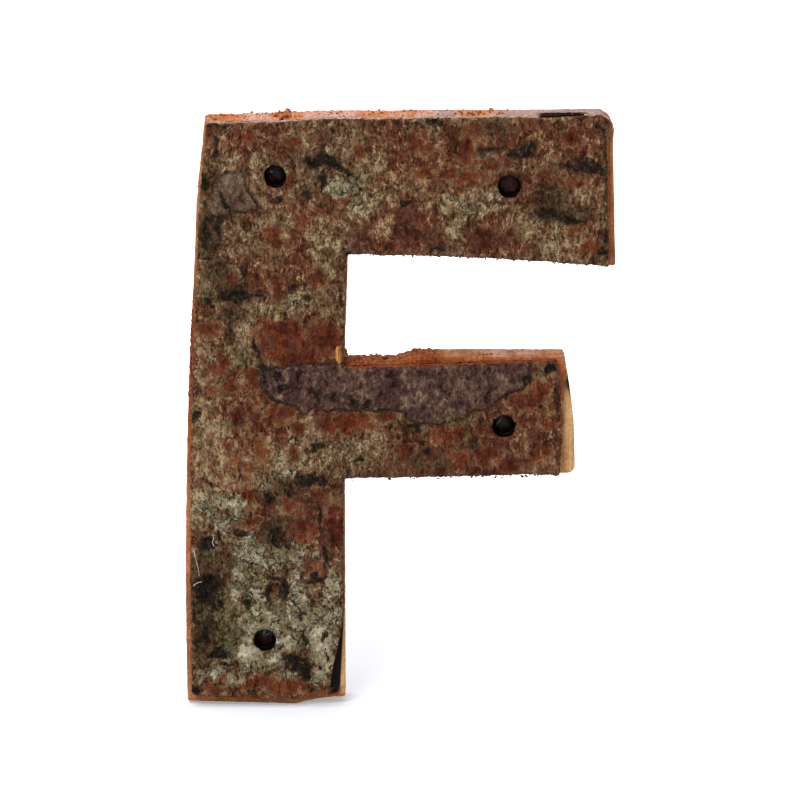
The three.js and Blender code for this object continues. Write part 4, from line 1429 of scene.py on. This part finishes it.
def crumbTree():
    tree = bpy.data.node_groups.new("scatterCrumbs", "GeometryNodeTree")
    for name, kind, direction in (
        ("Strips", "NodeSocketGeometry", "INPUT"), ("Crumb Size", "NodeSocketFloat", "INPUT"),
        ("Density", "NodeSocketFloat", "INPUT"), ("Seed", "NodeSocketInt", "INPUT"),
        ("Crumb Material", "NodeSocketMaterial", "INPUT"), ("Crumbs", "NodeSocketGeometry", "OUTPUT"),
    ):
        tree.interface.new_socket(name, in_out=direction, socket_type=kind)
    given = addNode(tree, "NodeGroupInput", {}, {}).outputs
    share = addNode(tree, "GeometryNodeInputNamedAttribute", {"data_type": "FLOAT"}, {"Name": "share"})
    density = addNode(
        tree, "ShaderNodeMath", {"operation": "MULTIPLY"}, {0: share.outputs[0], 1: given["Density"]}
    )
    spots = addNode(
        tree, "GeometryNodeDistributePointsOnFaces", {},
        {"Mesh": given["Strips"], "Density": density.outputs[0], "Seed": given["Seed"]},
    )
    pebble = addNode(tree, "GeometryNodeMeshIcoSphere", {}, {"Radius": 1.0, "Subdivisions": 2})
    dents = addNode(tree, "ShaderNodeTexNoise", {}, {"Scale": 1.6, "Detail": 2.0})
    push = addNode(
        tree, "ShaderNodeVectorMath", {"operation": "SUBTRACT"},
        {0: dents.outputs["Color"], 1: (0.5, 0.5, 0.5)},
    )
    strong = addNode(
        tree, "ShaderNodeVectorMath", {"operation": "SCALE"}, {0: push.outputs[0], "Scale": 2.4}
    )
    lump = addNode(
        tree, "GeometryNodeSetPosition", {}, {"Geometry": pebble.outputs[0], "Offset": strong.outputs[0]}
    )
    chance = addNode(
        tree, "FunctionNodeRandomValue", {"data_type": "FLOAT"}, {2: 0.35, 3: 1.0, "Seed": given["Seed"]}
    )
    cubed = addNode(tree, "ShaderNodeMath", {"operation": "POWER"}, {0: chance.outputs[1], 1: 3.0})
    wide = addNode(
        tree, "ShaderNodeMath", {"operation": "MULTIPLY_ADD"}, {0: cubed.outputs[0], 1: 1.7, 2: 0.3}
    )
    bulk = addNode(tree, "GeometryNodeInputNamedAttribute", {"data_type": "FLOAT"}, {"Name": "bulk"})
    local = addNode(
        tree, "ShaderNodeMath", {"operation": "MULTIPLY"}, {0: wide.outputs[0], 1: bulk.outputs[0]}
    )
    scale = addNode(
        tree, "ShaderNodeMath", {"operation": "MULTIPLY"}, {0: local.outputs[0], 1: given["Crumb Size"]}
    )
    turn = addNode(
        tree, "FunctionNodeRandomValue", {"data_type": "FLOAT_VECTOR"},
        {0: (0, 0, 0), 1: (6.28, 6.28, 6.28), "Seed": given["Seed"]},
    )
    shape = addNode(
        tree, "FunctionNodeRandomValue", {"data_type": "FLOAT_VECTOR"},
        {0: (0.5, 0.5, 0.35), 1: (1.6, 1.2, 0.9), "Seed": 3},
    )
    sized = addNode(
        tree, "ShaderNodeVectorMath", {"operation": "SCALE"},
        {0: shape.outputs[0], "Scale": scale.outputs[0]},
    )
    placed = addNode(
        tree, "GeometryNodeInstanceOnPoints", {},
        {
            "Points": spots.outputs["Points"],
            "Instance": lump.outputs[0],
            "Rotation": turn.outputs[0],
            "Scale": sized.outputs[0],
        },
    )
    real = addNode(tree, "GeometryNodeRealizeInstances", {}, {"Geometry": placed.outputs[0]})
    painted = addNode(
        tree, "GeometryNodeSetMaterial", {},
        {"Geometry": real.outputs[0], "Material": given["Crumb Material"]},
    )
    addNode(tree, "NodeGroupOutput", {}, {"Crumbs": painted.outputs[0]})
    return tree


# Sawdust: soft torn wood fibre, orange; crumbs on the tops are painted lighter and those under the arms
# darker, as painted light and shade
crumbColours = [(0.3, "#38180f"), (0.5, "#7d3d20"), (0.7, "#bd7544")]


def crumbMaterial(c):
    material, tree = newMaterial("softwood_sawdust")
    where = addNode(tree, "ShaderNodeTexCoord", {}, {})
    drift = addNode(
        tree, "ShaderNodeTexNoise", {},
        {"Vector": where.outputs["Object"], "Scale": 1000 / 1.6, "Detail": 3.0},
    )
    bulk = addNode(tree, "ShaderNodeAttribute", {"attribute_name": "bulk"}, {})
    # by the bulk, greatest on the tops and least under the arms, the crumbs are painted lighter or darker as
    # light and shade
    lighter = addNode(
        tree, "ShaderNodeMapRange", {},
        {"Value": bulk.outputs["Fac"], "From Min": 0.5, "From Max": 0.8, "To Min": -0.1, "To Max": 0.12},
    )
    tone = addNode(
        tree, "ShaderNodeMath", {"operation": "ADD"}, {0: drift.outputs[0], 1: lighter.outputs[0]}
    )
    ramp = addNode(tree, "ShaderNodeValToRGB", {}, {"Fac": tone.outputs[0]})
    setStops(ramp, c)
    surface = addNode(
        tree, "ShaderNodeBsdfPrincipled", {},
        {"Base Color": ramp.outputs[0], "Roughness": 0.9, "Specular IOR Level": 0.1},
    )
    addNode(tree, "ShaderNodeOutputMaterial", {}, {"Surface": surface.outputs[0]})
    return material


def makeCrumbs(s):
    strips = crumbStrips(s)
    tree = crumbTree()
    modifier = strips.modifiers.new("scatter", "NODES")
    modifier.node_group = tree
    sockets = {item.name: item.identifier for item in tree.interface.items_tree}
    modifier[sockets["Crumb Size"]] = s["size"] * mm
    modifier[sockets["Density"]] = s["perSquareCm"] * 1e4
    modifier[sockets["Seed"]] = s["seed"]
    modifier[sockets["Crumb Material"]] = crumbMaterial(crumbColours)
    evaluated = strips.evaluated_get(bpy.context.evaluated_depsgraph_get())
    mesh = bpy.data.meshes.new_from_object(evaluated)
    strips.modifiers.remove(modifier)
    strips.data = mesh
    mesh.polygons.foreach_set("use_smooth", [True] * len(mesh.polygons))
    print("crumbs:", len(mesh.polygons), "faces")
    return strips


crumbs = makeCrumbs(crumbSettings)
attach(crumbs, "root")

# A golden splinter in the corner of stem and middle arm, and thin pale fibres left of the stem's foot
splinterSettings = {
    "x": -12.2,
    "z": 12.0,
    "halfWidth": 0.62,
    "halfHeight": 1.9,
    "halfThick": 0.4,
    "turn": 6.0,
    "ragged": 0.15,
    "point": 0.1,  # how far the tip stands above the rest
    "sides": 12,
    "rings": 9,
}


def surfaceDepth(x, z):
    x, z = np.array([x], float), np.array([z], float)
    height = barkHeight(x, z, barkCover(x, z, barkSettings), barkSettings)
    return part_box("bark_face")[0][1] / mm - height[0]


def makeSplinter(s):
    lean = math.tan(math.radians(s["turn"]))
    depth = surfaceDepth(s["x"], s["z"])
    angle = np.arange(s["sides"]) * 2 * math.pi / s["sides"]
    rings = []
    for share in np.linspace(-0.92, 0.92, s["rings"]):
        fat = (1 - share ** 2) ** 0.6
        x = s["x"] - lean * share * s["halfHeight"] + fat * s["halfWidth"] * np.cos(angle)
        y = depth - fat * s["halfThick"] * np.sin(angle)
        z = s["z"] + share * s["halfHeight"] + s["ragged"] * np.cos(3 * angle)
        rings.append(np.stack([x, y, z], axis=1))
    ring = list(range(s["sides"]))
    draft = MeshDraft(rings[0], [ring[::-1]])
    for points in rings[1:]:
        ring = draft.addRing(ring, points)
    draft.addTip(ring, (s["x"] - lean * s["halfHeight"], depth, s["z"] + s["halfHeight"] + s["point"]))
    return draft.build("wood_splinter")


fibreSettings = {
    "radius": 0.08,
    "lift": 0.05,  # off the bark
    "sides": 6,
    "finer": 4,  # points for each one given
    "paths": [
        [(-41.3, -27.6), (-41.1, -29), (-40.7, -30.6), (-40.4, -32), (-40.3, -33.2)],
        [(-41.5, -35.2), (-41, -34.8), (-40.4, -34.5), (-39.8, -34.4)],
        [(-37.6, -24.6), (-37.3, -25.4), (-37.6, -26.2), (-37.3, -27)],
    ],
}


def makeFibres(s):
    draft = MeshDraft(np.zeros((0, 3)), [])
    turn = np.arange(s["sides"]) * 2 * math.pi / s["sides"]
    for path in s["paths"]:
        line = np.array([(x, surfaceDepth(x, z) - s["lift"], z) for x, z in path])
        along = np.linspace(0, len(line) - 1, len(line) * s["finer"])
        line = np.stack([np.interp(along, np.arange(len(line)), line[:, k]) for k in range(3)], axis=1)
        heading = np.gradient(line, axis=0)
        heading /= np.linalg.norm(heading, axis=1)[:, None]
        side = np.cross(heading, (0, 1, 0))
        side /= np.linalg.norm(side, axis=1)[:, None]
        lift = np.cross(side, heading)
        ring = None
        for point, a, b in zip(line, side, lift):
            points = point + s["radius"] * (np.outer(np.cos(turn), a) + np.outer(np.sin(turn), b))
            if ring is None:
                ring = draft.addPoints(points)
                draft.faces.append(ring[::-1])
            else:
                ring = draft.addRing(ring, points)
        draft.faces.append(ring)
    return draft.build("bark_fibres")


# Split sapwood, golden, and dry bast fibre, nearly white
chipColours = {"golden_splinter_wood": ("#7a4312", "#d09046"), "dry_bast_fibre": ("#9a9184", "#d8d2c6")}


def chipMaterial(name, dark, light):
    material, tree = newMaterial(name)
    where = addNode(tree, "ShaderNodeTexCoord", {}, {})
    grain = addNode(  # streaks 0.3 mm wide and 3 mm long
        tree, "ShaderNodeMapping", {},
        {"Vector": where.outputs["Object"], "Scale": (1000 / 0.3, 1000 / 0.3, 1000 / 3)},
    )
    streak = addNode(
        tree, "ShaderNodeTexNoise", {}, {"Vector": grain.outputs[0], "Scale": 1.0, "Detail": 3.0}
    )
    strength = addNode(
        tree, "ShaderNodeMapRange", {}, {"Value": streak.outputs[0], "From Min": 0.35, "From Max": 0.6}
    )
    colour = addNode(
        tree, "ShaderNodeMix", {"data_type": "RGBA"},
        {0: strength.outputs[0], 6: linearColour(dark), 7: linearColour(light)},
    )
    surface = addNode(
        tree, "ShaderNodeBsdfPrincipled", {},
        {"Base Color": colour.outputs[2], "Roughness": 0.6, "Specular IOR Level": 0.3},
    )
    addNode(tree, "ShaderNodeOutputMaterial", {}, {"Surface": surface.outputs[0]})
    return material


splinter = makeSplinter(splinterSettings)
fibres = makeFibres(fibreSettings)
for piece, name, slot in (
    (splinter, "golden_splinter_wood", "board_wood"), (fibres, "dry_bast_fibre", "bark"),
):
    piece.data.materials.append(chipMaterial(name, *chipColours[name]))
    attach(piece, "root")
print("splinter and fibres added")

scene.view_settings.view_transform = "Standard"
